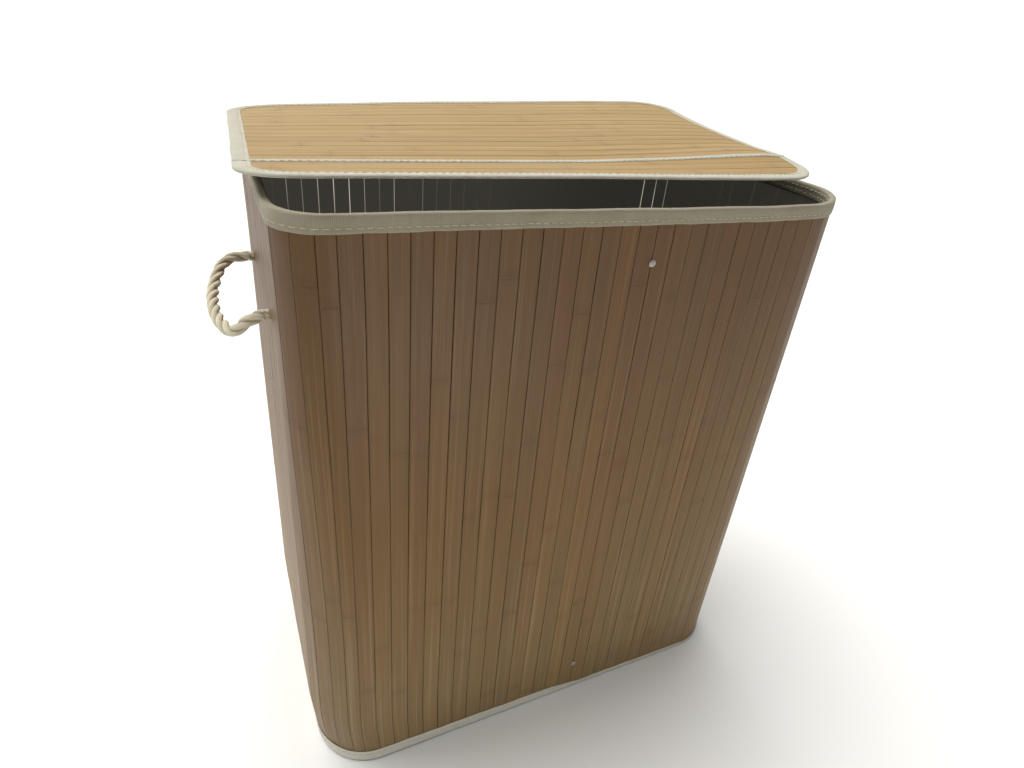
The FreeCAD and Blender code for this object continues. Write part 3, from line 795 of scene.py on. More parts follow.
def stitches(name, place, length, pitch, body, seed, replaces=(), dash=4.5, rad=0.30, start=0.0, shape=None):
    """place(s) -> points, outward normals (both n x 3) in mm; one small loop of thread per stitch."""
    g = rnd_of(seed)
    bag = Bag()
    count = int((length - start) / pitch)
    q = np.linspace(0, 2 * math.pi, 7)[:-1]
    for i in range(count):
        a = start + i * pitch + g.uniform(-0.35, 0.35)
        ln = dash + g.uniform(-0.5, 0.5)
        ss = a + np.array([0.0, 0.08, 0.25, 0.5, 0.75, 0.92, 1.0]) * ln
        c, n = place(ss)
        t = np.gradient(c, axis=0)
        t /= np.linalg.norm(t, axis=1)[:, None]
        b = np.cross(t, n)
        lift = np.array([-0.45, -0.10, 0.16, 0.22, 0.16, -0.10, -0.45])
        side = g.uniform(-0.18, 0.18)
        rr = rad * np.array([0.7, 0.95, 1.0, 1.05, 1.0, 0.95, 0.7])
        c = c + n * lift[:, None] + b * (side + np.linspace(-0.12, 0.12, 7) * g.uniform(0.4, 1.4))[:, None]
        P = c[:, None, :] + rr[:, None, None] * (np.cos(q)[None, :, None] * n[:, None, :]
                                                 + np.sin(q)[None, :, None] * b[:, None, :])
        uvs = np.stack(np.meshgrid(ss * MM, np.linspace(0, 1.9, 7) * MM, indexing="ij"), -1)
        bag.grid(P, uvs)
    shape = shape or (lid_shape if name.startswith("lid") else body_shape)
    return bag.done(name, m_thread, body=body, slot="thread", sharp=80, replaces=replaces, shape=shape)


def on_wall(off, z):
    def place(s):
        p, n = outline(s)
        o = off(s) if callable(off) else off
        o = np.asarray(o)
        if o.ndim == 0:
            o = np.full(len(s), float(o))
        zz = z(s) if callable(z) else np.full(len(s), float(z))
        c = np.concatenate([p + n * o[:, None], np.asarray(zz)[:, None]], 1)
        return c, np.concatenate([n, np.zeros((len(s), 1))], 1)
    return place


def on_wall_in(off, z):
    f = on_wall(off, z)

    def place(s):
        c, n = f(s)
        return c, -n
    return place


def rim_row(up):
    def f(s):
        p, _ = outline(s)
        return rim_top(p[:, 0], p[:, 1]) - RIM_TALL + up
    return f


stitches("rim_stitches", on_wall(0.66, rim_row(3.7)), PERIM, 6.5, "basket", 61, replaces=("rim_stitching",))
stitches("rim_stitches_inside", on_wall_in(-5.2, rim_row(3.7)), PERIM, 6.5, "basket", 62)
stitches("rim_stitches_inside_upper", on_wall_in(-5.4, rim_row(8.4)), PERIM, 6.5, "basket", 63)


def foot_row(s):
    p, _ = outline(s)
    return np.maximum(foot_tall(p[:, 0], p[:, 1]) * 0.72, 2.6)


stitches("foot_stitches", on_wall(0.74, foot_row), PERIM, 6.5, "basket", 64, replaces=("foot_stitching",))


# --------------------------------------------------------------------- lid
def warp(x, y):
    """Height of the lid's top face: it lies low at the front and curls up towards the back right."""
    x, y = np.asarray(x, float), np.asarray(y, float)
    front = np.interp(x, [-268, -235, -97, -11, 88, 180, 254], [617.9, 618.7, 617.9, 617.5, 616.1, 615.0, 615.4])
    seam = np.interp(x, [-268, -233, -68, 18, 49, 82, 116, 151, 188, 227, 254],
                     [613.0, 613.2, 613.6, 614.0, 615.0, 616.1, 617.3, 619.0, 621.0, 622.2, 621.0])
    rear = np.interp(x, [-268, -240, -210, -180, -150, -100, -50, 0, 50, 100, 150, 200, 254],
                     [612.6, 613.6, 615.8, 617.5, 619.2, 622.4, 625.0, 627.3, 629.6, 632.3, 634.5, 636.2, 637.2])
    mid = seam + (rear - seam) * np.clip((y - SEAM_Y) / 262.5, 0, 1)
    edge_mid = 621.0 + 16.2 * np.clip((y - SEAM_Y) / 262.5, 0, 1)
    edge = np.interp(y, [-70, -50, -30, 0, 30, 60, 90, 120, 150, 192.5],
                     [621.0, 621.4, 621.2, 622.4, 623.8, 625.6, 628.0, 630.6, 634.0, 637.2])
    mid = mid + (edge - edge_mid) * np.clip((x - 60.0) / 194.0, 0, 1) ** 1.5
    t = np.clip((SEAM_Y - y) / 67.5, 0, 1)
    return np.where(y >= SEAM_Y, mid, seam + (front - seam) * (t * (1.25 - 0.25 * t)))


def skew(x, y):
    """The soft lid is pulled a little out of square."""
    t = (np.asarray(y, float) + 137.5) / 330.0
    left = -6.5 + 12.5 * t
    right = np.interp(np.asarray(y, float), [-137.5, -95.0, -70.0, 192.5], [-14.0, -9.0, -5.0, 13.0])
    return (left + right) / 2 + (right - left) / 2 * (np.asarray(x, float) - LID_CX) / 261.0


def lid_outline(s):
    return outline(s, LID_W, LID_D, LID_R, LID_CX, LID_CY)


LQ = math.pi * LID_R / 2
LID_PER = 2 * (LID_W - 2 * LID_R) + 2 * (LID_D - 2 * LID_R) + 4 * LQ
# arc lengths at which the outline meets the fold line, right then left
S_RIGHT = (LID_W / 2 - LID_R) + LQ + (SEAM_Y - (LID_CY - LID_D / 2 + LID_R))
S_LEFT = LID_PER - S_RIGHT


def half_width(y, inset):
    """x range of the lid at y, inset from its edge."""
    hw, hd = LID_W / 2 - inset, LID_D / 2 - inset
    r = max(LID_R - inset, 1.0)
    dy = np.abs(np.asarray(y, float) - LID_CY)
    over = np.clip(dy - (hd - r), 0, r)
    return hw - r + np.sqrt(np.maximum(r * r - over * over, 0))


def flat_strips(name, mat, y_from, y_to, pitch, hw, zfun, t, body, slot, replaces, cx, seed, gap=0.22, drop=0.0,
                shape=lid_shape):
    """Strips running along X, side by side from y_from towards y_to."""
    bag = Bag()
    step = pitch if y_to > y_from else -pitch
    y, k = y_from, 0
    while (y < y_to - 2.5) if step > 0 else (y > y_to + 2.5):
        a, b = min(y, y + step), max(y, y + step)
        if step > 0:
            b = min(b, y_to)
        else:
            a = max(a, y_to)
        a, b = a + gap, b - gap
        g = rnd_of(seed + k)
        width = b - a
        sec = strip_ring(width, t, crown=0.12)
        n = 56
        nh = [-260 + g.uniform(0, 150), 0, 0]
        st = g.uniform(170, 300)
        nh[1], nh[2] = nh[0] + st, nh[0] + 2 * st
        sy = a + sec[:, 0] * width
        half = hw(np.clip(sy, a, b))
        f = np.linspace(-1, 1, n)
        X = cx + f[:, None] * half[None, :]
        Y = np.repeat(sy[None, :], n, 0) + wobble(X, seed + 40 + k, 160.0, 0.10) * (2 * sec[None, :, 0] - 1)
        proud = g.uniform(-0.08, 0.12)
        ridge = sum(0.15 * np.exp(-((X - h) / 2.6) ** 2) for h in nh)
        Z = zfun(X, Y) - drop - sec[None, :, 1] + proud + np.where(sec[None, :, 1] < 0.3, ridge, 0)
        P = np.stack([X, Y, Z], -1)
        uu = np.append(sec[:, 0], 0.0) * width * MM
        vv = np.concatenate([X, X[:, :1]], 1) * MM
        uvs = np.stack([np.repeat(uu[None, :], n, 0), vv], -1)
        edge = np.abs(2 * sec[:, 0] - 1)
        bag.grid(P, uvs, rnd=g.uniform(), rnd2=g.uniform(), n1=nh[0] * MM, n2=nh[1] * MM, n3=nh[2] * MM,
                 edge=np.repeat(edge[None], n, 0))
        y += step
        k += 1
    return bag.done(name, mat, body=body, slot=slot, sharp=50, replaces=replaces, shape=shape)


PANEL_GAP = 3.1      # half the free space the two panels leave at the fold
flat_strips("lid_strips", m_lid, SEAM_Y + PANEL_GAP, LID_CY + LID_D / 2 - 4.0, 17.0,
            lambda y: half_width(y, 4.0), warp, 1.2, "lid", "bamboo_lid", ("lid_main_slats",), LID_CX, 2000, drop=0.48,
            gap=0.13)
flat_strips("lid_front_strips", m_lid, SEAM_Y - PANEL_GAP, LID_CY - LID_D / 2 + 4.0, 17.0,
            lambda y: half_width(y, 4.0), warp, 1.2, "lid_front_flap", "bamboo_lid", ("lid_front_slats",), LID_CX,
            2100, drop=0.48, gap=0.13)


def lid_cloth(name, y0, y1, body, replaces):
    bag = Bag()
    ys = np.linspace(y0, y1, max(8, int(abs(y1 - y0) / 6)))
    n = 64
    f = np.linspace(-1, 1, n)
    hw = half_width(ys, 3.0)
    X = LID_CX + f[:, None] * hw[None]
    Y = np.repeat(ys[None], n, 0)
    Zt = warp(X, Y) - 0.48 - 1.22
    Zb = Zt - 0.5 + wobble(X + Y * 0.6, 71, 60.0, 0.10)
    P = np.concatenate([np.stack([X, Y, Zt], -1), np.stack([X, Y, Zb], -1)[:, ::-1]], 1)
    uvs = np.concatenate([P[..., :2], P[:, :1, :2]], 1) * MM
    bag.grid(P, uvs)
    return bag.done(name, m_lback, body=body, slot="lid_backing", sharp=50, replaces=replaces, shape=lid_shape)


lid_cloth("lid_backing", SEAM_Y + PANEL_GAP, LID_CY + LID_D / 2 - 3.2, "lid", ("lid_main_backing_cloth",))
lid_cloth("lid_front_backing", LID_CY - LID_D / 2 + 3.2, SEAM_Y - PANEL_GAP, "lid_front_flap",
          ("lid_front_backing_cloth",))


def lid_tape(name, lo, hi, body, replaces, seed):
    bag = Bag()
    s = stations(LID_W, LID_D, LID_R, 6.0, 2.2, lo, hi)
    top, bot = 0.0, -2.7
    prof = [(-12.1, top - 0.10), (-11.2, top + 0.12), (-9.9, top + 0.06), (-9.2, top - 0.10), (-8.4, top + 0.10),
            (-5.0, top + 0.22), (-2.2, top + 0.14), (-0.9, top - 0.15), (-0.15, top - 0.75), (0.0, top - 1.35),
            (-0.15, top - 1.95), (-0.9, bot + 0.16), (-2.2, bot - 0.02), (-8.4, bot - 0.05), (-9.3, bot + 0.1),
            (-11.6, bot), (-12.0, bot + 0.15), (-12.0, bot + 0.42), (-1.8, bot + 0.46), (-0.95, top - 1.35),
            (-1.8, top - 0.44), (-12.0, top - 0.44)]
    prof = np.array(prof)
    edge_in = prof[:, 0] < -11

    def mod(ss, off, z):
        off = np.where(edge_in[None, :], off + wobble(ss, seed, 26.0, 0.35), off)
        off = np.where(off > -1.0, off + wobble(ss, seed + 1, 60.0, 0.35) + wobble(ss, seed + 2, 19.0, 0.12), off)
        return off, z

    def lift(x, y):
        return warp(x, y)

    sweep(bag, s, prof, closed=False, outl=lid_outline, lift=lift, mod=mod)
    return bag.done(name, m_ltape, body=body, slot="lid_tape", sharp=60, replaces=replaces, shape=lid_shape)


lid_tape("lid_tape", S_RIGHT + 1.0, S_LEFT - 1.0, "lid", ("lid_main_binding_tape",), 81)
lid_tape("lid_front_tape", S_LEFT + 1.0 - LID_PER, S_RIGHT - 1.0, "lid_front_flap", ("lid_front_binding_tape",), 85)


def on_lid(off, up, sign=1.0):
    def place(s):
        p, n = lid_outline(s)
        xy = p - n * off
        z = warp(xy[:, 0], xy[:, 1]) + up
        c = np.concatenate([xy, z[:, None]], 1)
        return c, np.tile([[0.0, 0.0, sign]], (len(s), 1))
    return place


def shifted(place, ds):
    return lambda s: place(s + ds)


stitches("lid_stitches", shifted(on_lid(9.2, -0.06), S_RIGHT + 6), S_LEFT - S_RIGHT - 12, 6.2, "lid", 65,
         replaces=("lid_main_stitching",))
stitches("lid_front_stitches", shifted(on_lid(9.2, -0.06), S_LEFT + 6), LID_PER - S_LEFT + S_RIGHT - 12, 6.2,
         "lid_front_flap", 66, replaces=("lid_front_stitching",))
stitches("lid_stitches_under", shifted(on_lid(9.3, -2.66, -1.0), S_RIGHT + 6), S_LEFT - S_RIGHT - 12, 6.2, "lid", 67)


def seam_tape():
    """Strip sewn over the fold between the two panels of the lid."""
    bag = Bag()
    n = 90
    half = 4.6
    xs = np.linspace(LID_CX - LID_W / 2 + 2.6, LID_CX + LID_W / 2 - 2.6, n)
    sec = np.array([(-1.0, -0.10), (-0.93, 0.38), (-0.70, 0.62), (-0.45, 0.80), (-0.2, 0.98), (0.0, 1.05), (0.2, 0.98),
                    (0.45, 0.80), (0.70, 0.62), (0.93, 0.38), (1.0, -0.10), (0.93, -0.36), (0.45, -0.30), (0.0, -0.30),
                    (-0.45, -0.30), (-0.93, -0.36)])
    ends = np.minimum(1.0, np.minimum(xs - xs[0], xs[-1] - xs) / 7.0 + 0.55)
    Y = SEAM_Y + sec[None, :, 0] * (half * ends[:, None] + wobble(xs, 91, 40.0, 0.30)[:, None])
    X = np.repeat(xs[:, None], len(sec), 1)
    over = np.clip(13.0 - np.minimum(xs - (LID_CX - LID_W / 2), LID_CX + LID_W / 2 - xs), 0, 13) / 13.0
    Z = warp(X, Y) + sec[None, :, 1] - 0.30 + (over * 0.30)[:, None]
    P = np.stack([X, Y, Z], -1)
    c = np.cumsum(np.concatenate([[0], np.linalg.norm(np.diff(np.vstack([sec * [half, 1], sec[:1] * [half, 1]]),
                                                              axis=0), axis=1)]))
    uvs = np.stack(np.meshgrid(xs * MM, c * MM, indexing="ij"), -1)
    bag.grid(P, uvs)
    ob = bag.done("lid_seam_tape", m_ltape, slot="lid_tape", sharp=60, shape=lid_shape,
                  replaces=("lid_seam_tape_main", "lid_seam_tape_front"))
    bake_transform(ob)
    return ob


seam_tape()


def seam_row(y, up):
    def place(s):
        x = LID_CX - LID_W / 2 + 6 + np.asarray(s)
        c = np.stack([x, np.full(len(x), y), warp(x, np.full(len(x), y)) + up], 1)
        return c, np.tile([[0.0, 0.0, 1.0]], (len(x), 1))
    return place


stitches("lid_seam_stitches", seam_row(SEAM_Y + 3.3, 0.16), LID_W - 12, 6.2, "lid", 68)
stitches("lid_front_seam_stitches", seam_row(SEAM_Y - 3.3, 0.16), LID_W - 12, 6.2, "lid_front_flap", 69)


def under_seam():
    """Cloth strip under the fold."""
    bag = Bag()
    n = 70
    xs = np.linspace(LID_CX - LID_W / 2 + 3.0, LID_CX + LID_W / 2 - 3.0, n)
    sec = np.array([(-9.0, 0.0), (-8.6, 0.5), (-4, 0.55), (0, 0.55), (4, 0.55), (8.6, 0.5), (9.0, 0.0), (4, -0.15),
                    (0, -0.2), (-4, -0.15)])
    Y = SEAM_Y + np.repeat(sec[None, :, 0], n, 0) + wobble(xs, 95, 50.0, 0.4)[:, None]
    X = np.repeat(xs[:, None], len(sec), 1)
    Z = warp(X, Y) - 2.75 + sec[None, :, 1]
    P = np.stack([X, Y, Z], -1)
    c = np.cumsum(np.concatenate([[0], np.linalg.norm(np.diff(np.vstack([sec, sec[:1]]), axis=0), axis=1)]))
    bag.grid(P, np.stack(np.meshgrid(xs * MM, c * MM, indexing="ij"), -1))
    ob = bag.done("lid_seam_strip_under", m_lback, slot="lid_backing", sharp=60, shape=lid_shape)
    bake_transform(ob)


under_seam()


def hinge_cloth():
    """Cotton strip sewn to the back of the rim and to the underside of the lid."""
    bag = Bag()
    n = 80
    xs = np.linspace(-195.0, 185.0, n)
    y_out = 167.65
    path = [(y_out, 586.0), (y_out + 0.15, 592.0), (y_out, 598.0), (y_out, 602.0), (y_out, 605.0)]
    rows_y, rows_z = [], []
    for y, z in path:
        rows_y.append(np.full(n, y))
        rows_z.append(np.full(n, z))
    under = warp(xs, np.full(n, 160.0)) - 3.5
    for f in (0.3, 0.6, 0.85):
        rows_y.append(np.full(n, y_out + 0.4 * math.sin(f * 3.0)))
        rows_z.append(605.0 + (under - 605.0) * f)
    for dy, dz in ((-1.2, -0.35), (-4.0, -0.1), (-12.0, 0.0), (-30.0, 0.0)):
        rows_y.append(np.full(n, y_out + dy))
        rows_z.append(warp(xs, np.full(n, y_out + dy)) - 3.55 + dz)
    Yc, Zc = np.stack(rows_y, 1), np.stack(rows_z, 1)
    # local outward direction in the YZ plane
    ty, tz = np.gradient(Yc, axis=1), np.gradient(Zc, axis=1)
    ln = np.sqrt(ty * ty + tz * tz)
    ny, nz = tz / ln, -ty / ln
    a = np.stack([np.repeat(xs[:, None], Yc.shape[1], 1), Yc, Zc], -1)
    b = np.stack([np.repeat(xs[:, None], Yc.shape[1], 1), Yc - 0.75 * ny, Zc - 0.75 * nz], -1)
    P = np.concatenate([a, b[:, ::-1]], 1)
    c = np.cumsum(np.concatenate([[0], np.linalg.norm(np.diff(np.concatenate([P, P[:, :1]], 1)[n // 2], axis=0), axis=1)]))
    bag.grid(P, np.stack(np.meshgrid(xs * MM, c * MM, indexing="ij"), -1))
    ob = bag.done("lid_hinge_cloth", m_ltape, slot="lid_tape", sharp=70,
                  replaces=("lid_hinge_cloth", "lid_hinge_flap"))
    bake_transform(ob)


hinge_cloth()


def straight_row(y, z, x0, n):
    def place(s):
        x = x0 + np.asarray(s)
        zz = z(x) if callable(z) else np.full(len(x), z)
        c = np.stack([x, np.full(len(x), y), zz], 1)
        return c, np.tile([n], (len(x), 1)).astype(float)
    return place


stitches("hinge_stitches", straight_row(167.75, 589.4, -192.0, (0, 1, 0)), 374.0, 6.5, "basket", 71)


# ------------------------------------------------------------ base panel
def base_hw(y):
    o = -6.45 - 0.6
    hw, hd, r = W / 2 + o, D / 2 + o, R + o
    over = np.clip(np.abs(np.asarray(y, float)) - (hd - r), 0, r)
    return hw - r + np.sqrt(np.maximum(r * r - over * over, 0))


flat_strips("base_strips", m_base, -D / 2 + 7.4, D / 2 - 7.4, 17.0, base_hw,
            lambda x, y: np.full(np.shape(x), 4.86), 1.66, "basket", "bamboo_wall", ("base_slats",), 0.0, 2200,
            gap=0.25, shape=body_shape)


def base_tape():
    bag = Bag()
    s = stations(straight=8.0, arc=3.0)
    prof = [(-19.6, 4.9), (-19.4, 5.45), (-16.8, 5.6), (-16.2, 5.45), (-15.4, 5.62), (-8.0, 5.66), (-6.4, 5.5),
            (-5.8, 5.0), (-5.66, 4.2), (-5.66, 0.3), (-5.9, 0.05), (-6.4, 0.05), (-6.43, 4.7), (-6.9, 4.9)]
    sweep(bag, s, prof)
    return bag.done("base_tape", m_foot, shape=body_shape, body="basket", slot="foot_tape", sharp=60, replaces=("base_binding_tape",))


base_tape()


# ------------------------------------------ battens, rivets, washers, eyelets
def soft_box(name, lo, hi, r, mat, body, slot, replaces, holes=(), rows=12):
    """Board along Z with rounded long edges."""
    x0, y0, z0 = lo
    x1, y1, z1 = hi
    pts = []
    for cx, cy, a0 in ((x1 - r, y0 + r, -90), (x1 - r, y1 - r, 0), (x0 + r, y1 - r, 90), (x0 + r, y0 + r, 180)):
        for a in (0, 22.5, 45, 67.5, 90):
            t = math.radians(a0 + a)
            pts.append((cx + r * math.cos(t), cy + r * math.sin(t)))
    pts = np.array(pts)
    mid = np.array([(x0 + x1) / 2, (y0 + y1) / 2])
    zz = np.concatenate([[z0, z0 + r * 0.4, z0 + r], np.linspace(z0 + 6, z1 - 6, rows), [z1 - r, z1 - r * 0.4, z1]])
    ins = np.concatenate([[r, r * 0.3, 0], np.zeros(rows), [0, r * 0.3, r]])
    P = np.zeros((len(zz), len(pts), 3))
    for i, (z, k) in enumerate(zip(zz, ins)):
        d = mid - pts
        P[i, :, :2] = pts + np.sign(d) * np.minimum(np.abs(d), k * 0.8)
        P[i, :, 2] = z
    bag = Bag()
    bag.grid(P, np.zeros((len(zz) + 1, len(pts) + 1, 2)))
    return bag.done(name, mat, body=body, slot=slot, sharp=45, replaces=replaces)


# the battens take the dark backing material, painted emission glow included
lo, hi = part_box("front_upright_batten")
soft_box("front_batten", np.array(lo) / MM, np.array(hi) / MM, 1.2, m_liner, "basket", "dark_backing",
         ("front_upright_batten",))
lo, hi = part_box("back_upright_batten")
soft_box("back_batten", np.array(lo) / MM, np.array(hi) / MM, 1.2, m_liner, "basket", "dark_backing",
         ("back_upright_batten",))


def lathe(bag, prof, origin, axis, n=40):
    """Closed ring profile [(radius, along)] turned about axis; ends at radius 0 are closed by caps."""
    axis = np.array(axis, float)
    e1 = np.array([0, 0, 1.0]) if abs(axis[2]) < 0.5 else np.array([1.0, 0, 0])
    e2 = np.cross(axis, e1)
    a = np.linspace(0, 2 * math.pi, n + 1)[:-1]
    prof = np.asarray(prof, float)
    ring = np.cos(a)[:, None] * e1 + np.sin(a)[:, None] * e2
    P = np.asarray(origin, float) + prof[:, None, 0:1] * ring[None] + prof[:, None, 1:2] * axis
    bag.grid(P, np.zeros((len(prof) + 1, n + 1, 2)), wrap_i=False, wrap_j=True)


rb, wb = Bag(), Bag()
for sy in (-1, 1):
    for z in RIVET_Z:
        o = (RIVET_X, sy * D / 2, z)
        head = [(3.35, 0.12), (3.45, 0.30), (3.35, 0.62), (2.9, 1.02), (2.2, 1.32), (1.4, 1.50), (1.05, 1.52),
                (0.85, 1.36), (0.5, 1.30), (0.12, 1.30)]
        shank = [(0.2, -13.4), (1.3, -13.4), (1.5, -13.1), (1.5, -12.4), (2.6, -12.2), (2.6, -11.5), (1.5, -11.4),
                 (1.5, 0.12)]
        lathe(rb, shank + head, o, (0, sy, 0))
        lathe(wb, [(1.75, -11.3), (4.6, -11.3), (5.0, -11.1), (5.0, -10.75), (4.6, -10.55), (1.75, -10.55)], o,
              (0, sy, 0))
rb.done("rivets", m_rivet, body="basket", slot="rivet_plastic", replaces=("batten_rivets",), sharp=50)
wb.done("washers", m_eye, body="basket", slot="rivet_plastic", replaces=("rivet_washers",), sharp=40)

eb = Bag()
for sx in (-1, 1):
    for y in (60.0, -80.0):
        xi = W / 2 - 3.7 - 0.03
        prof = [(5.65, 3.6), (5.65, -0.6), (5.9, -0.98), (6.6, -1.15), (8.8, -1.0), (9.8, -0.6), (10.0, -0.2), (9.7, -0.02),
                (6.45, -0.02), (6.45, 3.6)]
        P0 = len(eb.v)
        axis = np.array((sx, 0, 0), float)
        a = np.linspace(0, 2 * math.pi, 41)[:-1]
        ring = np.cos(a)[:, None] * np.array([0, 1.0, 0]) + np.sin(a)[:, None] * np.array([0, 0, 1.0])
        pr = np.array(prof)
        P = np.array((sx * xi, y, 498.0)) + pr[:, None, 0:1] * ring[None] + pr[:, None, 1:2] * axis
        eb.grid(np.swapaxes(P, 0, 1), np.zeros((41, len(prof) + 1, 2)), wrap_i=True, wrap_j=True)
eb.done("eyelets", m_eye, body="basket", slot="eyelet_steel", replaces=("rope_eyelets",), sharp=45, shape=body_shape)

# ------------------------------------------------------------------- ropes
ROPE_D = 10.0
ROPE_OUT = 8.5
ROUTE = [(ROPE_OUT, 60.0, 498.0), (21.0, 58.5, 498.5), (31.0, 46.0, 492.5),
         (38.0, 20.0, 485.0), (40.0, -14.0, 482.0), (36.0, -46.0, 479.0),
         (27.0, -69.0, 480.0), (18.0, -78.0, 493.5), (ROPE_OUT, -80.0, 498.0)]
LAY = 43.0


def spline_points(name, pts):
    """Points along the smooth line of a route, in metres."""
    cu = bpy.data.curves.new(name, "CURVE")
    cu.dimensions = "3D"
    sp = cu.splines.new("NURBS")
    sp.points.add(len(pts) - 1)
    for p, q in zip(sp.points, pts):
        p.co = (*q, 1.0)
    sp.order_u = 3
    sp.use_endpoint_u = True
    sp.resolution_u = 24
    ob = bpy.data.objects.new(name, cu)
    bpy.context.scene.collection.objects.link(ob)
    bpy.context.view_layer.update()
    dg = bpy.context.evaluated_depsgraph_get()
    me = bpy.data.meshes.new_from_object(ob.evaluated_get(dg))
    out = np.array([v.co for v in me.vertices], float)
    bpy.data.objects.remove(ob)
    bpy.data.curves.remove(cu)
    bpy.data.meshes.remove(me)
    return out


def resample(p, step):
    seg = np.linalg.norm(np.diff(p, axis=0), axis=1)
    c = np.concatenate([[0], np.cumsum(seg)])
    n = max(3, int(round(c[-1] / step)) + 1)
    t = np.linspace(0, c[-1], n)
    return np.stack([np.interp(t, c, p[:, i]) for i in range(3)], 1), t


def laid_rope(bag, pts, rad, start_frame=None, phase=0.0, hand=1.0, taper=None, sides=48, seed=0):
    """Three-strand rope round a line of points (mm)."""
    pts, t = resample(np.asarray(pts, float), 0.9)
    tan = np.gradient(pts, axis=0)
    tan /= np.linalg.norm(tan, axis=1)[:, None]
    e = np.array(start_frame if start_frame is not None else (0, 0, 1.0), float)
    e -= tan[0] * (e @ tan[0])
    e /= np.linalg.norm(e)
    frames = [e]
    for i in range(1, len(pts)):
        e = frames[-1] - tan[i] * (frames[-1] @ tan[i])
        frames.append(e / np.linalg.norm(e))
    E = np.array(frames)
    B = np.cross(tan, E)
    th = np.linspace(0, 2 * math.pi, sides + 1)[:-1]
    twist = hand * 2 * math.pi * t / LAY + phase + wobble(t, seed + 3, 60.0, 0.12)
    c, rs = rad * 0.475, rad * 0.525
    rel = th[None, :] - twist[:, None]
    dlt = np.abs(np.mod(rel + math.pi / 3, 2 * math.pi / 3) - math.pi / 3)
    r = c * np.cos(dlt) + np.sqrt(np.maximum(rs * rs - (c * np.sin(dlt)) ** 2, 0))
    # how deep each point lies in the groove between strands; it weights the painted groove shade
    deep = np.clip((rad - r) / (rad * 0.40), 0, 1)
    yarn = 0.018 * rad * np.sin(rel * 15 + t[:, None] * 2 * math.pi / 9.0)
    r = r + yarn + wobble(t, seed + 9, 14.0, 0.10)[:, None]
    if taper is not None:
        r = r * taper(t, t[-1])[:, None]
    P = pts[:, None, :] + r[..., None] * (np.cos(th)[None, :, None] * E[:, None, :]
                                          + np.sin(th)[None, :, None] * B[:, None, :])
    thx = np.linspace(0, 2 * math.pi, sides + 1)
    U = np.repeat(t[:, None], sides + 1, 1)
    Vv = (thx[None, :] - twist[:, None]) * rad
    bag.grid(P, np.stack([U, Vv], -1) * MM, deep=deep)
    return tan, E, twist


for side, sx in (("left", -1), ("right", 1)):
    route_m = [(sx * (W / 2 + d) * MM, y * MM, z * MM) for d, y, z in ROUTE]
    line = spline_points(side + "_route", route_m)
    line = body_shape(line / MM) * MM
    start = [float(c) for c in body_shape(np.array([route_m[0]]) / MM)[0] * MM]
    near = float(body_shape(np.array([[sx * 267.2, -10.0, 498.0]]))[0, 0]) * MM
    mesh_line = line / MM
    # the rope itself runs on for a few millimetres towards its hole at each end
    lead = body_shape(np.array([(sx * (W / 2 + 3.9), 60.0, 498.0)]))
    tail = body_shape(np.array([(sx * (W / 2 + 3.9), -80.0, 498.0)]))
    full = np.vstack([lead, mesh_line, tail])
    bag = Bag()
    laid_rope(bag, full, ROPE_D / 2 + 0.1, hand=1.0, phase=0.4, seed=301)
    handle = bag.done(side + "_rope_loop", m_rope, slot="rope", sharp=80, replaces=(side + "_rope_handle",))
    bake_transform(handle)
    length = float(np.linalg.norm(np.diff(line, axis=0), axis=1).sum())
    print("ROPE", side, round(length, 4))

    kb = Bag()
    for i, y in enumerate((60.0, -80.0)):
        xi = sx * (W / 2 - 3.7 - 1.4)
        xk = xi - sx * 11.2
        stub = [(sx * (W / 2 + 3.6), y, 498.0), (sx * (W / 2 - 6), y, 498.0), (xk, y, 498.0)]
        laid_rope(kb, stub, ROPE_D / 2 - 0.12, phase=0.4 + i, seed=310 + i)
        # overhand knot
        u = np.linspace(0.0, 2 * math.pi, 70)[:-1]
        a, b, c = 2.75, 3.15, 3.3
        kx = -c * np.sin(3 * u) * 1.15
        ky = a * (np.sin(u) + 2 * np.sin(2 * u)) * 0.82
        kz = a * (np.cos(u) - 2 * np.cos(2 * u)) * 0.82
        knot = np.stack([xk + kx, y + ky, 498.0 + kz], 1)
        laid_rope(kb, knot, 3.9, start_frame=(1, 0.2, 0.1), phase=i * 1.1, seed=330 + i, sides=36)
        tl = [(xk, y, 494.0), (xk - sx * 0.6, y + 0.6, 486.0), (xk - sx * 0.2, y + 0.9, 480.0), (xk + sx * 0.3, y + 0.4, 474.6)]
        laid_rope(kb, tl, ROPE_D / 2 - 0.1, start_frame=(1, 0, 0), phase=i * 0.7, seed=350 + i,
                  taper=lambda t, T: 1.0 + 0.10 * np.clip((t - T + 4) / 4, 0, 1))
    kb.done(side + "_rope_ends", m_rope, body="basket", slot="rope", sharp=80, replaces=(side + "_rope_knots",), shape=body_shape)


# ----------------------------------------------- spring hoops and base board
def hoop(name, node, z0):
    bag = Bag()
    prof = [(-3.78, z0 + 0.3), (-3.78, z0 + 9.7), (-3.95, z0 + 10.0), (-4.27, z0 + 10.0), (-4.44, z0 + 9.7),
            (-4.44, z0 + 0.3), (-4.27, z0), (-3.95, z0)]
    sweep(bag, stations(straight=9.0, arc=3.0), prof)
    bag.done(name, m_steel, body="basket", slot="spring_steel", sharp=50, replaces=(node,), shape=body_shape)


hoop("rim_spring_band", "rim_hoop", H - 13.0)
hoop("foot_spring_band", "foot_hoop", 3.0)


def base_panel():
    s = stations(straight=9.0, arc=3.0)[:-1]
    p, n = outline(s)
    rows = [(-7.1, 0.02), (-6.62, 0.4), (-6.62, 2.7), (-7.1, 3.12)]
    P = np.stack([np.concatenate([p + n * off, np.full((len(s), 1), z)], 1) for off, z in rows])
    bag = Bag()
    bag.grid(P, np.zeros((len(rows) + 1, len(s) + 1, 2)))
    bag.done("base_panel", m_board, body="basket", slot="fibreboard", sharp=40, replaces=("base_board",),
             shape=body_shape)


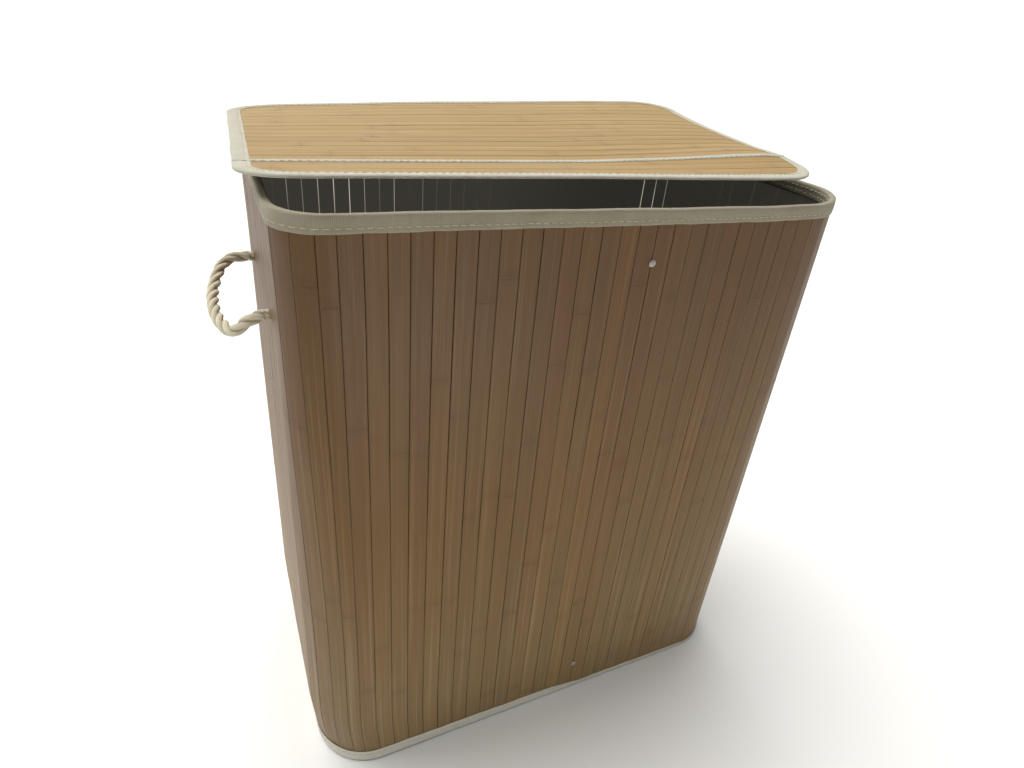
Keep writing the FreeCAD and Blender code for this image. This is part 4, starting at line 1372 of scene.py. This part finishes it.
base_panel()

# ------------------------------------------------------------------- stage
fl = bpy.data.meshes.new("floor")
fl.from_pydata([(-40, -40, -0.0004), (40, -40, -0.0004), (40, 40, -0.0004), (-40, 40, -0.0004)], [], [(0, 1, 2, 3)])
floor = bpy.data.objects.new("floor", fl)
bpy.context.scene.collection.objects.link(floor)
F = Mat("floor_paint")
fn = F.noise(F.obj(), 3.0, 3.0)
F.set(color=F.mix(F.span(fn, 0.3, 0.7, 0.0, 0.5), (0.82, 0.82, 0.81), (0.80, 0.80, 0.79)), rough=0.9, spec=0.1)
fl.materials.append(F.mat)

world = bpy.data.worlds.new("studio")
bpy.context.scene.world = world
world.use_nodes = True
wt = world.node_tree
wt.nodes.clear()
wo = wt.nodes.new("ShaderNodeOutputWorld")
bg = wt.nodes.new("ShaderNodeBackground")
tc = wt.nodes.new("ShaderNodeTexCoord")
sp = wt.nodes.new("ShaderNodeSeparateXYZ")
wt.links.new(tc.outputs["Generated"], sp.inputs[0])
mr = wt.nodes.new("ShaderNodeMapRange")
mr.interpolation_type = "SMOOTHSTEP"
wt.links.new(sp.outputs["Y"], mr.inputs[0])
mr.inputs[1].default_value = -0.3
mr.inputs[2].default_value = 0.6
mr.inputs[3].default_value = 0.12
mr.inputs[4].default_value = 1.15
wt.links.new(mr.outputs[0], bg.inputs["Strength"])
bg.inputs["Color"].default_value = (1.0, 0.995, 0.98, 1)
wt.links.new(bg.outputs[0], wo.inputs[0])


def area(name, loc, target, size, power, col=(1, 1, 1)):
    li = bpy.data.lights.new(name, "AREA")
    li.shape = "DISK"
    li.size = size
    li.energy = power
    li.color = col
    ob = bpy.data.objects.new(name, li)
    ob.location = loc
    ob.rotation_euler = (Vector(target) - Vector(loc)).to_track_quat("-Z", "Y").to_euler()
    bpy.context.scene.collection.objects.link(ob)
    return ob


sun_data = bpy.data.lights.new("high_soft", "SUN")
sun_data.energy = 3.4
sun_data.angle = math.radians(60)
sun_data.color = (1.0, 0.985, 0.955)
sun = bpy.data.objects.new("high_soft", sun_data)
sun.rotation_euler = Vector((-0.22, 0.32, 0.92)).to_track_quat("Z", "Y").to_euler()
bpy.context.scene.collection.objects.link(sun)
area("low_fill", (0.02, -1.0, 0.05), (0.03, -0.17, 0.08), 0.5, 2.2, (1.0, 0.985, 0.96))

# ------------------------------------------------------------------ camera
F_PX, CXP, CYP = 639.7135, 531.9934, 380.5475
PITCH_A, ROLL_A, YAW_A = 0.5148, 0.1106, 0.494
cz, sz = math.cos(YAW_A), math.sin(YAW_A)
cxx, sxx = math.cos(PITCH_A), math.sin(PITCH_A)
cr, sr = math.cos(ROLL_A), math.sin(ROLL_A)
Rz = np.array([[cz, -sz, 0], [sz, cz, 0], [0, 0, 1]])
Bm = np.array([[1, 0, 0], [0, 0, -1], [0, 1, 0]])
Rx = np.array([[1, 0, 0], [0, cxx, -sxx], [0, sxx, cxx]])
Rr = np.array([[cr, -sr, 0], [sr, cr, 0], [0, 0, 1]])
RM = Rr @ Rx @ Bm @ Rz
cam = bpy.data.cameras.new("camera")
cam.sensor_width = 36.0
cam.lens = F_PX / 1024 * 36.0
cam.shift_x = (512 - CXP) / 1024
cam.shift_y = (CYP - 384) / 1024
cam.clip_start = 0.01
cam.clip_end = 60
co = bpy.data.objects.new("camera", cam)
m4 = Matrix.Identity(4)
for i in range(3):
    m4[i][0], m4[i][1], m4[i][2] = RM[0][i], -RM[1][i], -RM[2][i]
m4[0][3], m4[1][3], m4[2][3] = -0.2877049, -0.5752972, 0.7200298
co.matrix_world = m4
bpy.context.scene.collection.objects.link(co)
bpy.context.scene.camera = co
bpy.context.scene.view_settings.view_transform = "Standard"
bpy.context.scene.view_settings.look = "None"
bpy.context.scene.view_settings.exposure = 0.0
bpy.context.scene.view_settings.gamma = 1.0
